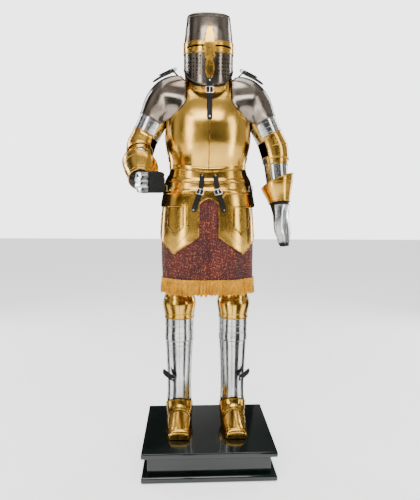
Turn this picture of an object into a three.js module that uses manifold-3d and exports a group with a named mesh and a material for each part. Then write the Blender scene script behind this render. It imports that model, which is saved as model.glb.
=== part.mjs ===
// Suit of plate armour standing on a plinth. Millimetres, +Z up, the suit faces -Y.
// The origin is the middle of the plinth's underside.
import * as THREE from 'three';
import { mergeVertices } from 'three/addons/utils/BufferGeometryUtils.js';
import Module from 'manifold-3d';

const wasm = await Module();
wasm.setup();

// Driving dimensions
const plinthWidth = 560;
const plinthDepth = 460;
const plinthHeight = 130;
const topSlabHeight = 24;
const bottomSlabHeight = 30;
const bodyInset = 24;
const suitShift = -4;
const torsoY = 60;
const legX = 124;
const legY = 80;
const plateThickness = 1.6;
const leatherThickness = 2.4;
const clothThickness = 1.8;
const gap = 0.4;
const seat = 0.3;
const layer = plateThickness + gap;
const eyeSlit = { inner: 22, outer: 94, innerZ: 1785, outerZ: 1776, height: 7 };
const skirtFolds = 9;

// Colours, roughness and metalness
const looks = {
  brass: { color: 0xc9a24a, roughness: 0.25, metalness: 1 },
  steel: { color: 0xc8ccca, roughness: 0.22, metalness: 1 },
  darkSteel: { color: 0x6e675f, roughness: 0.28, metalness: 1 },
  leather: { color: 0x14130f, roughness: 0.55, metalness: 0 },
  brocade: { color: 0x5e1512, roughness: 0.8, metalness: 0 },
  bullion: { color: 0xd8a024, roughness: 0.5, metalness: 0.2 },
  blackPaint: { color: 0x07110e, roughness: 0.3, metalness: 0 },
};

const suit = new THREE.Group();
suit.position.x = suitShift;
const part = new THREE.Group();
part.add(suit);

// A list of angles up to the middle one, followed by its mirror image
function mirrored(list) {
  return [...list, ...list.slice(0, -1).reverse().map((value) => -value)];
}

const degrees = THREE.MathUtils.degToRad;
const smooth = THREE.MathUtils.smoothstep;
const mix = THREE.MathUtils.lerp;

// A smooth curve through the rows of a table with named columns, read at one value of its key
function readTable(table, key, at) {
  const last = table.length - 1;
  const value = Math.min(Math.max(at, table[0][key]), table[last][key]);
  let row = 0;
  while (row < last - 1 && value > table[row + 1][key]) row += 1;
  const low = table[row];
  const high = table[row + 1];
  const span = high[key] - low[key];
  const t = (value - low[key]) / span;
  const result = {};
  for (const name of Object.keys(low)) {
    const slope = (index) => {
      if (index === 0 || index === last) return 0;
      const before = (table[index][name] - table[index - 1][name])
        / (table[index][key] - table[index - 1][key]);
      const after = (table[index + 1][name] - table[index][name])
        / (table[index + 1][key] - table[index][key]);
      return before * after > 0 ? 2 * before * after / (before + after) : 0;
    };
    result[name] = mix(low[name], high[name], t * t * (3 - 2 * t))
      + t * (1 - t) * span * ((1 - t) * slope(row) - t * slope(row + 1));
  }
  return result;
}

// Radius of a rounded section at an angle; sine and cosine sides have their own half-widths
function sectionRadius(angle, side, front, power) {
  const across = Math.abs(Math.sin(angle)) / side;
  const along = Math.abs(Math.cos(angle)) / front;
  return Math.pow(Math.pow(across, power) + Math.pow(along, power), -1 / power);
}

// Outward normal of a surface given as point(around, along)
function normalAt(surface, around, along, step) {
  const across = surface(around + step.around, along).sub(surface(around - step.around, along));
  const up = surface(around, along + step.along).sub(surface(around, along - step.along));
  return across.cross(up).normalize();
}

// A closed solid from an outer and an inner grid of points
function solidFromGrids(outer, inner, rows, columns, closed, capped) {
  const positions = [];
  const triangles = [];
  const width = columns + (closed ? 0 : 1);
  for (const grid of [outer, inner]) {
    for (const line of grid) {
      for (const point of line) positions.push(point.x, point.y, point.z);
    }
  }
  const sheet = (rows + 1) * width;
  const id = (level, row, column) => level * sheet + row * width + (column % width);
  const quad = (a, b, c, d) => triangles.push(a, b, c, a, c, d);
  for (let row = 0; row < rows; row += 1) {
    for (let column = 0; column < columns; column += 1) {
      const corners = [[row, column], [row, column + 1], [row + 1, column + 1], [row + 1, column]];
      quad(...corners.map(([r, c]) => id(0, r, c)));
      const [a, b, c, d] = corners.map(([line, place]) => id(1, line, place));
      quad(a, d, c, b);
    }
    if (!closed) {
      quad(id(0, row + 1, 0), id(1, row + 1, 0), id(1, row, 0), id(0, row, 0));
      quad(id(0, row, columns), id(1, row, columns), id(1, row + 1, columns),
        id(0, row + 1, columns));
    }
  }
  for (let column = 0; column < columns; column += 1) {
    quad(id(0, 0, column + 1), id(0, 0, column), id(1, 0, column), id(1, 0, column + 1));
    if (!capped) {
      quad(id(0, rows, column), id(0, rows, column + 1), id(1, rows, column + 1),
        id(1, rows, column));
    }
  }
  if (capped) {
    for (let level = 0; level < 2; level += 1) {
      const ring = [outer, inner][level][rows];
      const middle = new THREE.Vector3();
      for (const point of ring) middle.addScaledVector(point, 1 / ring.length);
      const centre = positions.length / 3;
      positions.push(middle.x, middle.y, middle.z);
      for (let column = 0; column < columns; column += 1) {
        const ends = [id(level, rows, column), id(level, rows, column + 1)];
        if (level === 1) ends.reverse();
        triangles.push(ends[0], ends[1], centre);
      }
    }
  }
  return outwardGeometry(positions, triangles);
}

// Indexed geometry whose faces point out
function outwardGeometry(positions, triangles) {
  const a = new THREE.Vector3();
  const b = new THREE.Vector3();
  const c = new THREE.Vector3();
  let volume = 0;
  for (let i = 0; i < triangles.length; i += 3) {
    a.fromArray(positions, triangles[i] * 3);
    b.fromArray(positions, triangles[i + 1] * 3);
    c.fromArray(positions, triangles[i + 2] * 3);
    volume += a.dot(b.cross(c));
  }
  if (volume < 0) triangles.reverse();
  const geometry = new THREE.BufferGeometry();
  geometry.setAttribute('position', new THREE.Float32BufferAttribute(positions, 3));
  geometry.setIndex(triangles);
  geometry.computeVertexNormals();
  return geometry;
}

const smallStep = { around: 0.01, along: 0.5 };

// A curved wall on a surface: place(i, j) gives its surface coordinates at column i and row j,
// lift(i, j) how far its inner face stands off the surface
function wall(options) {
  const { surface, columns, rows, place, closed = false, capped = false, side = 1 } = options;
  const { thickness = plateThickness, lift = () => 0, step = smallStep } = options;
  const outer = [];
  const inner = [];
  for (let j = 0; j <= rows; j += 1) {
    outer.push([]);
    inner.push([]);
    for (let i = 0; i < columns + (closed ? 0 : 1); i += 1) {
      const [around, along] = place(i, j);
      const point = surface(around, along);
      const normal = normalAt(surface, around, along, step);
      const low = point.clone().addScaledVector(normal, lift(i, j));
      const high = low.clone().addScaledVector(normal, thickness);
      low.x *= side;
      high.x *= side;
      outer[j].push(high);
      inner[j].push(low);
    }
  }
  return solidFromGrids(outer, inner, rows, columns, closed, capped);
}

function addPiece(name, geometry, look, group = suit) {
  const mesh = new THREE.Mesh(geometry, new THREE.MeshStandardMaterial(looks[look]));
  mesh.name = name;
  group.add(mesh);
  return mesh;
}

// A flat band along a line of points: its inner face is on the points, across is its width's way
function ribbon(points, across, width, thickness, side = 1) {
  const outer = [];
  const inner = [];
  points.forEach((point, index) => {
    const before = points[Math.max(index - 1, 0)];
    const after = points[Math.min(index + 1, points.length - 1)];
    const tangent = after.clone().sub(before).normalize();
    const normal = across.clone().cross(tangent).normalize();
    outer.push([]);
    inner.push([]);
    for (const share of [-0.5, 0.5]) {
      const low = point.clone().addScaledVector(across, share * width);
      const high = low.clone().addScaledVector(normal, thickness);
      low.x *= side;
      high.x *= side;
      outer[index].push(high);
      inner[index].push(low);
    }
  });
  return solidFromGrids(outer, inner, points.length - 1, 1, false, false);
}

function toManifold(geometry) {
  const bare = geometry.clone();
  bare.deleteAttribute('normal');
  bare.deleteAttribute('uv');
  const merged = mergeVertices(bare, 1e-4);
  const mesh = new wasm.Mesh({
    numProp: 3,
    vertProperties: new Float32Array(merged.attributes.position.array),
    triVerts: new Uint32Array(merged.index.array),
  });
  return new wasm.Manifold(mesh);
}

function fromManifold(solid) {
  const mesh = solid.getMesh();
  return outwardGeometry(Array.from(mesh.vertProperties), Array.from(mesh.triVerts));
}

// Plinth
function slab(width, depth, height, chamfer) {
  const w = width / 2;
  const d = depth / 2;
  const outline = new THREE.Shape();
  outline.moveTo(-w, -d);
  outline.lineTo(w, -d);
  outline.lineTo(w, d);
  outline.lineTo(-w, d);
  outline.closePath();
  const bevel = { bevelEnabled: chamfer > 0, bevelThickness: chamfer, bevelSize: chamfer,
    bevelOffset: -chamfer, bevelSegments: 1 };
  const block = new THREE.ExtrudeGeometry(outline, { depth: height - 2 * chamfer, ...bevel });
  block.translate(0, 0, chamfer);
  return block;
}

const plinthBody = plinthHeight - topSlabHeight - bottomSlabHeight;
const lowSlab = slab(plinthWidth, plinthDepth, bottomSlabHeight - seat, 6);
addPiece('plinth_bottom', lowSlab, 'blackPaint', part);
const body = slab(plinthWidth - 2 * bodyInset, plinthDepth - 2 * bodyInset, plinthBody - seat, 0);
addPiece('plinth_body', body, 'blackPaint', part).position.z = bottomSlabHeight;
const highSlab = slab(plinthWidth, plinthDepth, topSlabHeight, 3);
addPiece('plinth_top', highSlab, 'blackPaint', part).position.z = plinthHeight - topSlabHeight;

// Trunk: half-width, reach to the front and to the back, squareness and centre crease by height.
// The plates' inner faces lie on this surface; the skirt hangs just inside it.
const trunkTable = [
  { z: 730, half: 207, front: 150, back: 138, power: 2.3, crease: 0 },
  { z: 800, half: 208, front: 150, back: 138, power: 2.3, crease: 0 },
  { z: 980, half: 208, front: 150, back: 136, power: 2.3, crease: 0 },
  { z: 1090, half: 202, front: 146, back: 128, power: 2.3, crease: 0 },
  { z: 1181, half: 190, front: 136, back: 114, power: 2.3, crease: 0 },
  { z: 1230, half: 178, front: 126, back: 102, power: 2.2, crease: 0 },
  { z: 1285, half: 163, front: 119, back: 92, power: 2.2, crease: 1.5 },
  { z: 1340, half: 171, front: 135, back: 98, power: 2.2, crease: 4 },
  { z: 1410, half: 184, front: 147, back: 106, power: 2.2, crease: 5 },
  { z: 1480, half: 188, front: 143, back: 110, power: 2.1, crease: 5 },
  { z: 1545, half: 178, front: 122, back: 106, power: 2.1, crease: 3 },
  { z: 1600, half: 158, front: 92, back: 90, power: 2, crease: 0 },
  { z: 1640, half: 139, front: 62, back: 66, power: 2, crease: 0 },
  { z: 1670, half: 122, front: 34, back: 38, power: 2, crease: 0 },
  { z: 1692, half: 112, front: 14, back: 16, power: 2, crease: 0 },
];

function trunkRadius(angle, z) {
  const row = readTable(trunkTable, 'z', z);
  const reach = Math.cos(angle) > 0 ? row.front : row.back;
  const fromFront = Math.abs(Math.atan2(Math.sin(angle), Math.cos(angle)));
  const crease = row.crease * Math.max(0, 1 - fromFront / degrees(34));
  return sectionRadius(angle, row.half, reach, row.power) + crease;
}

// Angle 0 is the front, and a positive angle turns to +X
function trunk(angle, z) {
  const r = trunkRadius(angle, z);
  return new THREE.Vector3(r * Math.sin(angle), torsoY - r * Math.cos(angle), z);
}

// Heights of the seams round the front, lowest at the middle
const waistSeam = (angle) => 1274 + 16 * Math.pow(Math.sin(angle), 2);
const lameSeam = (angle) => 1225 + 9 * Math.pow(Math.sin(angle), 2);
const lap = 14;
const joggle = 8;

const sideAngle = 88.6;
const frontAngles = mirrored([-sideAngle, -82, -73, -63, -52, -40, -28, -16, -8, 0]);

// Breastplate: the side edge runs up to the armhole, and the top edge is neckline and shoulder
const armholeTable = [
  { z: 1270, edge: sideAngle },
  { z: 1468, edge: sideAngle - 1 },
  { z: 1500, edge: 73 },
  { z: 1545, edge: 57 },
  { z: 1590, edge: 54 },
  { z: 1625, edge: 64 },
  { z: 1658, edge: 87 },
];
const neckHalf = 110;
const neckFront = 88;
const neckBack = 86;
const shoulderEnd = { angle: 87, high: 1690, low: 1658, share: 0.82 };
const chestHeights = [1340, 1400, 1455, 1500, 1545, 1590, 1628, shoulderEnd.low];

function neckRadius(angle) {
  return sectionRadius(angle, neckHalf, Math.cos(angle) > 0 ? neckFront : neckBack, 2);
}

// Height at which the trunk is as wide as the neck opening
function neckline(angle) {
  let low = 1540;
  let high = shoulderEnd.high;
  for (let turn = 0; turn < 24; turn += 1) {
    const middle = (low + high) / 2;
    if (trunkRadius(angle, middle) > neckRadius(angle)) low = middle;
    else high = middle;
  }
  return low;
}

function bodyPlate(atFront) {
  const bottom = waistSeam(0) + lap + joggle;
  return wall({
    surface: (angle, z) => trunk(atFront ? angle : Math.PI + angle, z),
    columns: frontAngles.length - 1,
    rows: chestHeights.length + 2,
    place: (i, j) => {
      const share = frontAngles[i] / sideAngle;
      const low = waistSeam(degrees(frontAngles[i]));
      if (j < 3) return [degrees(frontAngles[i]), low + [0, lap, lap + joggle][j]];
      const edgeZ = chestHeights[j - 3];
      const rise = (edgeZ - bottom) / (shoulderEnd.low - bottom);
      const towards = Math.min(Math.abs(share) / shoulderEnd.share, 1);
      const topAngle = Math.sign(share) * towards * shoulderEnd.angle;
      const past = Math.max(0, (Math.abs(share) - shoulderEnd.share) / (1 - shoulderEnd.share));
      const neckZ = neckline(degrees(atFront ? topAngle : 180 + topAngle));
      const topZ = mix(neckZ, shoulderEnd.low, past);
      const edge = readTable(armholeTable, 'z', edgeZ).edge;
      const angle = share * edge + (topAngle - share * shoulderEnd.angle) * Math.pow(rise, 3);
      return [degrees(angle), edgeZ + (topZ - shoulderEnd.low) * rise * rise];
    },
    lift: (i, j) => (j < 2 ? layer : 0),
  });
}

addPiece('breastplate', bodyPlate(true), 'brass');
addPiece('backplate', bodyPlate(false), 'brass');

// Two waist lames in front. Each top edge lies under the plate above, each bottom edge outside
function lame(low, high, angles) {
  return wall({
    surface: trunk,
    columns: angles.length - 1,
    rows: 4,
    place: (i, j) => {
      const angle = degrees(angles[i]);
      const bottom = low(angle);
      const top = high(angle);
      const levels = [bottom, Math.max(bottom, lapTop(low, angle)), lapTop(low, angle) + joggle,
        top, top + lap];
      return [angle, levels[j]];
    },
    lift: (i, j) => [layer + 1.2, layer + 0.3, 0, 0, 0][j],
  });
}

const lapTop = (low, angle) => (low === archSeam ? hipSeam + lap : low(angle) + lap);
const hipSeam = 1181;

// The second lame ends in an arch over the middle of the skirt
function archSeam(angle) {
  const x = Math.abs(Math.sin(angle)) * 150;
  if (x >= 70) return hipSeam;
  if (x >= 42) return mix(1136, hipSeam, smooth(x, 42, 70));
  return 1161 - 25 * Math.pow(x / 42, 2);
}

addPiece('fauld_upper', lame(lameSeam, waistSeam, frontAngles), 'brass');
addPiece('fauld_lower', lame(archSeam, lameSeam, frontAngles), 'brass');

// Rump plate under the backplate's lower edge
addPiece('rump_plate', wall({
  surface: (angle, z) => trunk(Math.PI + angle, z),
  columns: frontAngles.length - 1,
  rows: 5,
  place: (i, j) => {
    const angle = degrees(frontAngles[i]);
    const top = waistSeam(Math.PI + angle);
    const bottom = 1085 - 40 * Math.pow(Math.cos(angle), 6);
    return [angle, [bottom, mix(bottom, top, 0.25), mix(bottom, top, 0.5), mix(bottom, top, 0.78),
      top, top + lap][j]];
  },
}), 'brass');

// Tassets hang over the thighs from under the second lame and end in a point
const tassetAngles = frontAngles.filter((angle) => angle > 12);
const tassetTable = [
  { angle: 16, end: 1001 },
  { angle: 52, end: 926 },
  { angle: sideAngle, end: 1012 },
];

function tassetEnd(angle) {
  const [inner, tip, outer] = tassetTable;
  if (angle < tip.angle) {
    return mix(inner.end, tip.end, (angle - inner.angle) / (tip.angle - inner.angle));
  }
  return mix(tip.end, outer.end, (angle - tip.angle) / (outer.angle - tip.angle));
}

for (const [name, side] of [['R', -1], ['L', 1]]) {
  addPiece(`tasset_${name}`, wall({
    surface: trunk,
    side,
    columns: tassetAngles.length - 1,
    rows: 6,
    place: (i, j) => {
      const low = tassetEnd(tassetAngles[i]);
      const levels = [0, 0.25, 0.5, 0.75, 1].map((share) => mix(low, hipSeam, share));
      return [degrees(tassetAngles[i]), [...levels.slice(0, 4), 1150, hipSeam, hipSeam + lap][j]];
    },
  }), 'brass');
}

// Skirt: a cloth tube inside the plates, with soft folds that deepen towards the hem
const skirtTop = 1236;
const hemZ = 806;
const foldDepth = 9;
const skirtColumns = 6 * skirtFolds;

function skirtSurface(angle, z) {
  const point = trunk(angle, z);
  const depth = foldDepth * (1 - smooth(z, hemZ, 1150));
  const centre = 5 * Math.exp(-Math.pow(angle / 0.05, 2)) * (1 - smooth(z, 1000, 1200));
  const fold = depth * 0.5 * (1 - Math.cos(skirtFolds * angle + 0.6 * Math.sin(2 * angle))) + centre;
  const length = Math.hypot(point.x, point.y - torsoY);
  const share = 1 - fold / length;
  return new THREE.Vector3(point.x * share, torsoY + (point.y - torsoY) * share, z);
}

const skirtHeights = [hemZ, 900, 1000, 1100, 1181, skirtTop];
const skirtDrop = 2.2;
addPiece('skirt', wall({
  surface: skirtSurface,
  columns: skirtColumns,
  rows: skirtHeights.length - 1,
  closed: true,
  thickness: clothThickness,
  lift: () => -skirtDrop - clothThickness,
  place: (i, j) => [2 * Math.PI * i / skirtColumns, skirtHeights[j]],
}), 'brocade');

// Fringe: a narrow strip round the outside of the hem that carries separate locks
const fringeStrip = { low: hemZ - 4, high: hemZ + 8, thickness: 3.4 };
const lockShare = 0.74;

function hemPoint(column, share, z, off) {
  const ends = [column, column + 1].map((index) => {
    const angle = 2 * Math.PI * index / skirtColumns;
    const normal = normalAt(skirtSurface, angle, hemZ, smallStep).setZ(0).normalize();
    return skirtSurface(angle, hemZ).addScaledVector(normal, off - skirtDrop + gap);
  });
  return ends[0].lerp(ends[1], share).setZ(z);
}

function fringeGeometry() {
  const positions = [];
  const triangles = [];
  const put = (point) => positions.push(point.x, point.y, point.z) / 3 - 1;
  const quad = (a, b, c, d) => triangles.push(a, b, c, a, c, d);
  const posts = [];
  for (let column = 0; column < skirtColumns; column += 1) {
    for (const share of [0, lockShare]) {
      const corners = [];
      for (const z of [fringeStrip.low, fringeStrip.high]) {
        corners.push(put(hemPoint(column, share, z, 0)));
        corners.push(put(hemPoint(column, share, z, fringeStrip.thickness)));
      }
      posts.push(corners);
    }
  }
  posts.forEach(([lowIn, lowOut, highIn, highOut], index) => {
    const [nextLowIn, nextLowOut, nextHighIn, nextHighOut] = posts[(index + 1) % posts.length];
    quad(lowOut, nextLowOut, nextHighOut, highOut);
    quad(nextLowIn, lowIn, highIn, nextHighIn);
    quad(highIn, highOut, nextHighOut, nextHighIn);
    if (index % 2 === 1) {
      quad(nextLowIn, nextLowOut, lowOut, lowIn);
      return;
    }
    const column = index / 2;
    const length = 62 + 4 * Math.sin(column * 2.3) + 3 * Math.sin(column * 5.1);
    const end = fringeStrip.low - length;
    const tip = [[0.12, 0.4], [0.12, 3], [lockShare - 0.12, 0.4], [lockShare - 0.12, 3]]
      .map(([share, off]) => put(hemPoint(column, share, end, off)));
    const [tipIn, tipOut, tipNextIn, tipNextOut] = tip;
    quad(tipOut, tipNextOut, nextLowOut, lowOut);
    quad(tipNextIn, tipIn, lowIn, nextLowIn);
    quad(tipIn, tipOut, lowOut, lowIn);
    quad(tipNextOut, tipNextIn, nextLowIn, nextLowOut);
    quad(tipIn, tipNextIn, tipNextOut, tipOut);
  });
  return outwardGeometry(positions, triangles);
}

addPiece('fringe', fringeGeometry(), 'bullion');

// Great helm: straight sides that taper above the eye band, and a flat top
const helmTable = [
  { z: 1620, half: 105, front: 121, back: 116 },
  { z: 1716, half: 105, front: 121, back: 116 },
  { z: 1806, half: 104, front: 119, back: 115 },
  { z: 1880, half: 97, front: 111, back: 107 },
  { z: 1940, half: 90, front: 102, back: 99 },
  { z: 1952, half: 86, front: 98, back: 95 },
  { z: 1959, half: 78, front: 90, back: 87 },
];
const helmPower = 2.15;

function helm(angle, z) {
  const row = readTable(helmTable, 'z', z);
  const reach = Math.cos(angle) > 0 ? row.front : row.back;
  const r = sectionRadius(angle, row.half, reach, helmPower);
  return new THREE.Vector3(r * Math.sin(angle), torsoY - r * Math.cos(angle), z);
}

function helmRim(angle) {
  const front = Math.max(0, Math.cos(angle));
  const back = Math.max(0, -Math.cos(angle));
  return 1714 - 87 * Math.pow(front, 1.4) - 34 * back * back;
}

function eyeSlitCutter(side) {
  const { inner, outer, innerZ, outerZ, height } = eyeSlit;
  const length = Math.hypot(outer - inner, outerZ - innerZ);
  const cutter = new THREE.BoxGeometry(length, 140, height);
  cutter.rotateY(side * Math.atan2(innerZ - outerZ, outer - inner));
  cutter.translate(side * (inner + outer) / 2, -30, (innerZ + outerZ) / 2);
  return toManifold(cutter);
}

function withEyeSlits(geometry) {
  return fromManifold(toManifold(geometry).subtract(eyeSlitCutter(-1)).subtract(eyeSlitCutter(1)));
}

const helmColumns = 28;
const helmLevels = [1716, 1759, 1806, 1875, 1938, 1952, 1959 - plateThickness];
addPiece('helm_skull', withEyeSlits(wall({
  surface: helm,
  columns: helmColumns,
  rows: helmLevels.length,
  closed: true,
  capped: true,
  place: (i, j) => {
    const angle = 2 * Math.PI * i / helmColumns;
    return [angle, j === 0 ? helmRim(angle) : helmLevels[j - 1]];
  },
})), 'darkSteel');

const bandAngle = 2 * Math.PI / helmColumns;
addPiece('helm_band', withEyeSlits(wall({
  surface: helm,
  columns: helmColumns,
  rows: 1,
  closed: true,
  lift: () => layer,
  place: (i, j) => [bandAngle * i, [1759, 1806][j]],
})), 'brass');

// Spear-shaped strip down the front of the helm, over the band
const spearTable = [
  { z: 1646, half: 1 },
  { z: 1672, half: 11 },
  { z: 1722, half: 13 },
  { z: 1738, half: 9 },
  { z: 1752, half: 15 },
  { z: 1806, half: 15 },
  { z: 1846, half: 12.5 },
  { z: 1877, half: 1 },
];
addPiece('helm_spear', wall({
  surface: helm,
  columns: 2,
  rows: 10,
  lift: () => 2 * layer,
  place: (i, j) => {
    const z = [1646, 1672, 1722, 1738, 1752, 1780, 1806, 1828, 1846, 1862, 1877][j];
    const half = readTable(spearTable, 'z', z).half;
    return [(i - 1) * half / 120, z];
  },
}), 'brass');

// Leather collar: stands inside the neck opening and spreads to carry the helm
function collar(angle, v) {
  const neck = { z: neckline(angle) + 3, r: neckRadius(angle) - 9 };
  const top = helm(angle, helmRim(angle) + 14);
  const topRadius = Math.hypot(top.x, top.y - torsoY) - 3;
  const share = Math.max(0, (v - 1) / 2);
  const r = v < 1 ? neck.r - 3 * (1 - v) : mix(neck.r, topRadius, smooth(share, 0, 0.8));
  const z = v < 1 ? neck.z - 18 * (1 - v) : mix(neck.z, top.z, share);
  return new THREE.Vector3(r * Math.sin(angle), torsoY - r * Math.cos(angle), z);
}

addPiece('collar', wall({
  surface: collar,
  columns: helmColumns,
  rows: 3,
  closed: true,
  thickness: leatherThickness,
  lift: () => -gap,
  step: { around: 0.01, along: 0.05 },
  place: (i, j) => [2 * Math.PI * i / helmColumns, 0.02 + j * 0.98],
}), 'leather');

// Chin strap from the helm down onto the breastplate
const frontRidge = (z, off) => torsoY - trunkRadius(0, z) - plateThickness - off;
const chinPoints = [1648, 1628, 1606, 1580].map((z) => new THREE.Vector3(0, -68.4, z));
for (const z of [1552, 1530, 1506, 1483]) {
  chinPoints.push(new THREE.Vector3(0, Math.min(-68.4, frontRidge(z, gap)), z));
}
const alongX = new THREE.Vector3(1, 0, 0);
const alongY = new THREE.Vector3(0, 1, 0);
addPiece('chin_strap', ribbon(chinPoints.reverse(), alongX, 17, leatherThickness), 'leather');

// Shoulder fan: the plates of the shoulder turn about a point in the armpit
const fan = { x: 158, z: 1462 };
const fanTable = [
  { turn: -24, centre: 96, out: 130, low: 150, depth: 116 },
  { turn: -10, centre: 102, out: 127, low: 150, depth: 115 },
  { turn: 0, centre: 104, out: 123, low: 140, depth: 112 },
  { turn: 10, centre: 103, out: 114, low: 130, depth: 108 },
  { turn: 32, centre: 97, out: 90, low: 100, depth: 94 },
  { turn: 50, centre: 90, out: 73, low: 80, depth: 76 },
  { turn: 63, centre: 86.7, out: 66, low: 66, depth: 66 },
  { turn: 90, centre: 86.7, out: 66, low: 66, depth: 66 },
];
const fanEdge = [
  { tilt: 0, turn: -10 },
  { tilt: 60, turn: -15 },
  { tilt: 85, turn: -20 },
  { tilt: 103, turn: -13 },
  { tilt: 112, turn: 4 },
  { tilt: 120, turn: 30 },
];
const fanEnd = 63;

function shoulder(tilt, turn) {
  const row = readTable(fanTable, 'turn', turn);
  const reach = Math.cos(tilt) > 0 ? row.out : row.low;
  const r = sectionRadius(tilt, row.depth, reach, 2.1);
  const radial = row.centre + r * Math.cos(tilt);
  const swing = degrees(turn);
  const x = fan.x + radial * Math.sin(swing);
  const z = fan.z + radial * Math.cos(swing);
  const y = torsoY - r * Math.sin(tilt);
  const angle = Math.atan2(x, torsoY - y);
  const away = Math.hypot(x, y - torsoY);
  const clear = trunkRadius(angle, z) + layer + 2 * gap;
  const edge = readTable(fanEdge, 'tilt', Math.abs(THREE.MathUtils.radToDeg(tilt))).turn;
  const facing = smooth(Math.abs(THREE.MathUtils.radToDeg(tilt)), 25, 62);
  const hug = facing * (1 - smooth(turn - edge, 0, 30));
  const r2 = Math.max(clear, mix(away, clear, hug));
  return new THREE.Vector3(r2 * Math.sin(angle), torsoY - r2 * Math.cos(angle), z);
}

const fanTilts = mirrored([-120, -108, -96, -84, -72, -54, -36, -18, 0]);
const fanStep = { around: 0.01, along: 0.5 };

function pauldron(side) {
  return wall({
    surface: shoulder,
    side,
    step: fanStep,
    columns: fanTilts.length - 1,
    rows: 6,
    place: (i, j) => {
      const edge = readTable(fanEdge, 'tilt', Math.abs(fanTilts[i])).turn;
      return [degrees(fanTilts[i]), mix(edge, fanEnd, [0, 0.12, 0.3, 0.5, 0.7, 0.87, 1][j])];
    },
  });
}

// Arm: a centre line with rounded corners and a frame that is carried along it
const armSwing = degrees(fanEnd);
const armAxis = new THREE.Vector3(Math.cos(armSwing), 0, -Math.sin(armSwing));
const armStart = new THREE.Vector3(fan.x + 86.7 * Math.sin(armSwing), torsoY,
  fan.z + 86.7 * Math.cos(armSwing));
const upperArm = 125;
const sleeveRise = 26;
const elbow = armStart.clone().addScaledVector(armAxis, upperArm);
const arms = [
  {
    name: 'R',
    side: -1,
    wrist: new THREE.Vector3(279, -126, 1238),
    elbowReach: 62,
  },
  {
    name: 'L',
    side: 1,
    wrist: new THREE.Vector3(314, 12, 1154),
    elbowReach: 34,
  },
];

function roundedPath(corners, reach) {
  const path = new THREE.CurvePath();
  let from = corners[0];
  for (let index = 1; index < corners.length - 1; index += 1) {
    const corner = corners[index];
    const before = corner.clone().add(from.clone().sub(corner).setLength(reach));
    const after = corner.clone().add(corners[index + 1].clone().sub(corner).setLength(reach));
    path.add(new THREE.LineCurve3(from, before));
    path.add(new THREE.QuadraticBezierCurve3(before, corner, after));
    from = after;
  }
  path.add(new THREE.LineCurve3(from, corners[corners.length - 1]));
  return path;
}

function carriedFrames(path, firstNormal) {
  const steps = 400;
  const length = path.getLength();
  const frames = [];
  let normal = firstNormal.clone();
  for (let index = 0; index <= steps; index += 1) {
    const tangent = path.getTangentAt(index / steps);
    normal = normal.clone().addScaledVector(tangent, -normal.dot(tangent)).normalize();
    const across = tangent.clone().cross(normal);
    frames.push({ centre: path.getPointAt(index / steps), normal, across, tangent });
  }
  return (s) => {
    const position = Math.min(Math.max(s / length, 0), 1) * steps;
    const low = frames[Math.min(Math.floor(position), steps - 1)];
    const high = frames[Math.min(Math.floor(position), steps - 1) + 1];
    const share = position - Math.floor(Math.min(position, steps - 1e-9));
    return {
      centre: low.centre.clone().lerp(high.centre, share),
      normal: low.normal.clone().lerp(high.normal, share).normalize(),
      across: low.across.clone().lerp(high.across, share).normalize(),
    };
  };
}

// Limb tube round a carried frame: tilt 0 is the outer side and 90 degrees is the front
function limb(frameAt, sizeAt) {
  return (tilt, s) => {
    const frame = frameAt(s);
    const size = sizeAt(s);
    const reach = Math.cos(tilt) > 0 ? size.out : size.low;
    const r = sectionRadius(tilt, size.depth, reach, 2.1);
    return frame.centre.clone()
      .addScaledVector(frame.normal, r * Math.cos(tilt))
      .addScaledVector(frame.across, r * Math.sin(tilt));
  };
}

const armColumns = 15;
const armStep = 360 / armColumns;

function ring(count, from, to) {
  return (i) => degrees(mix(from, to, i / count));
}

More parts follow.
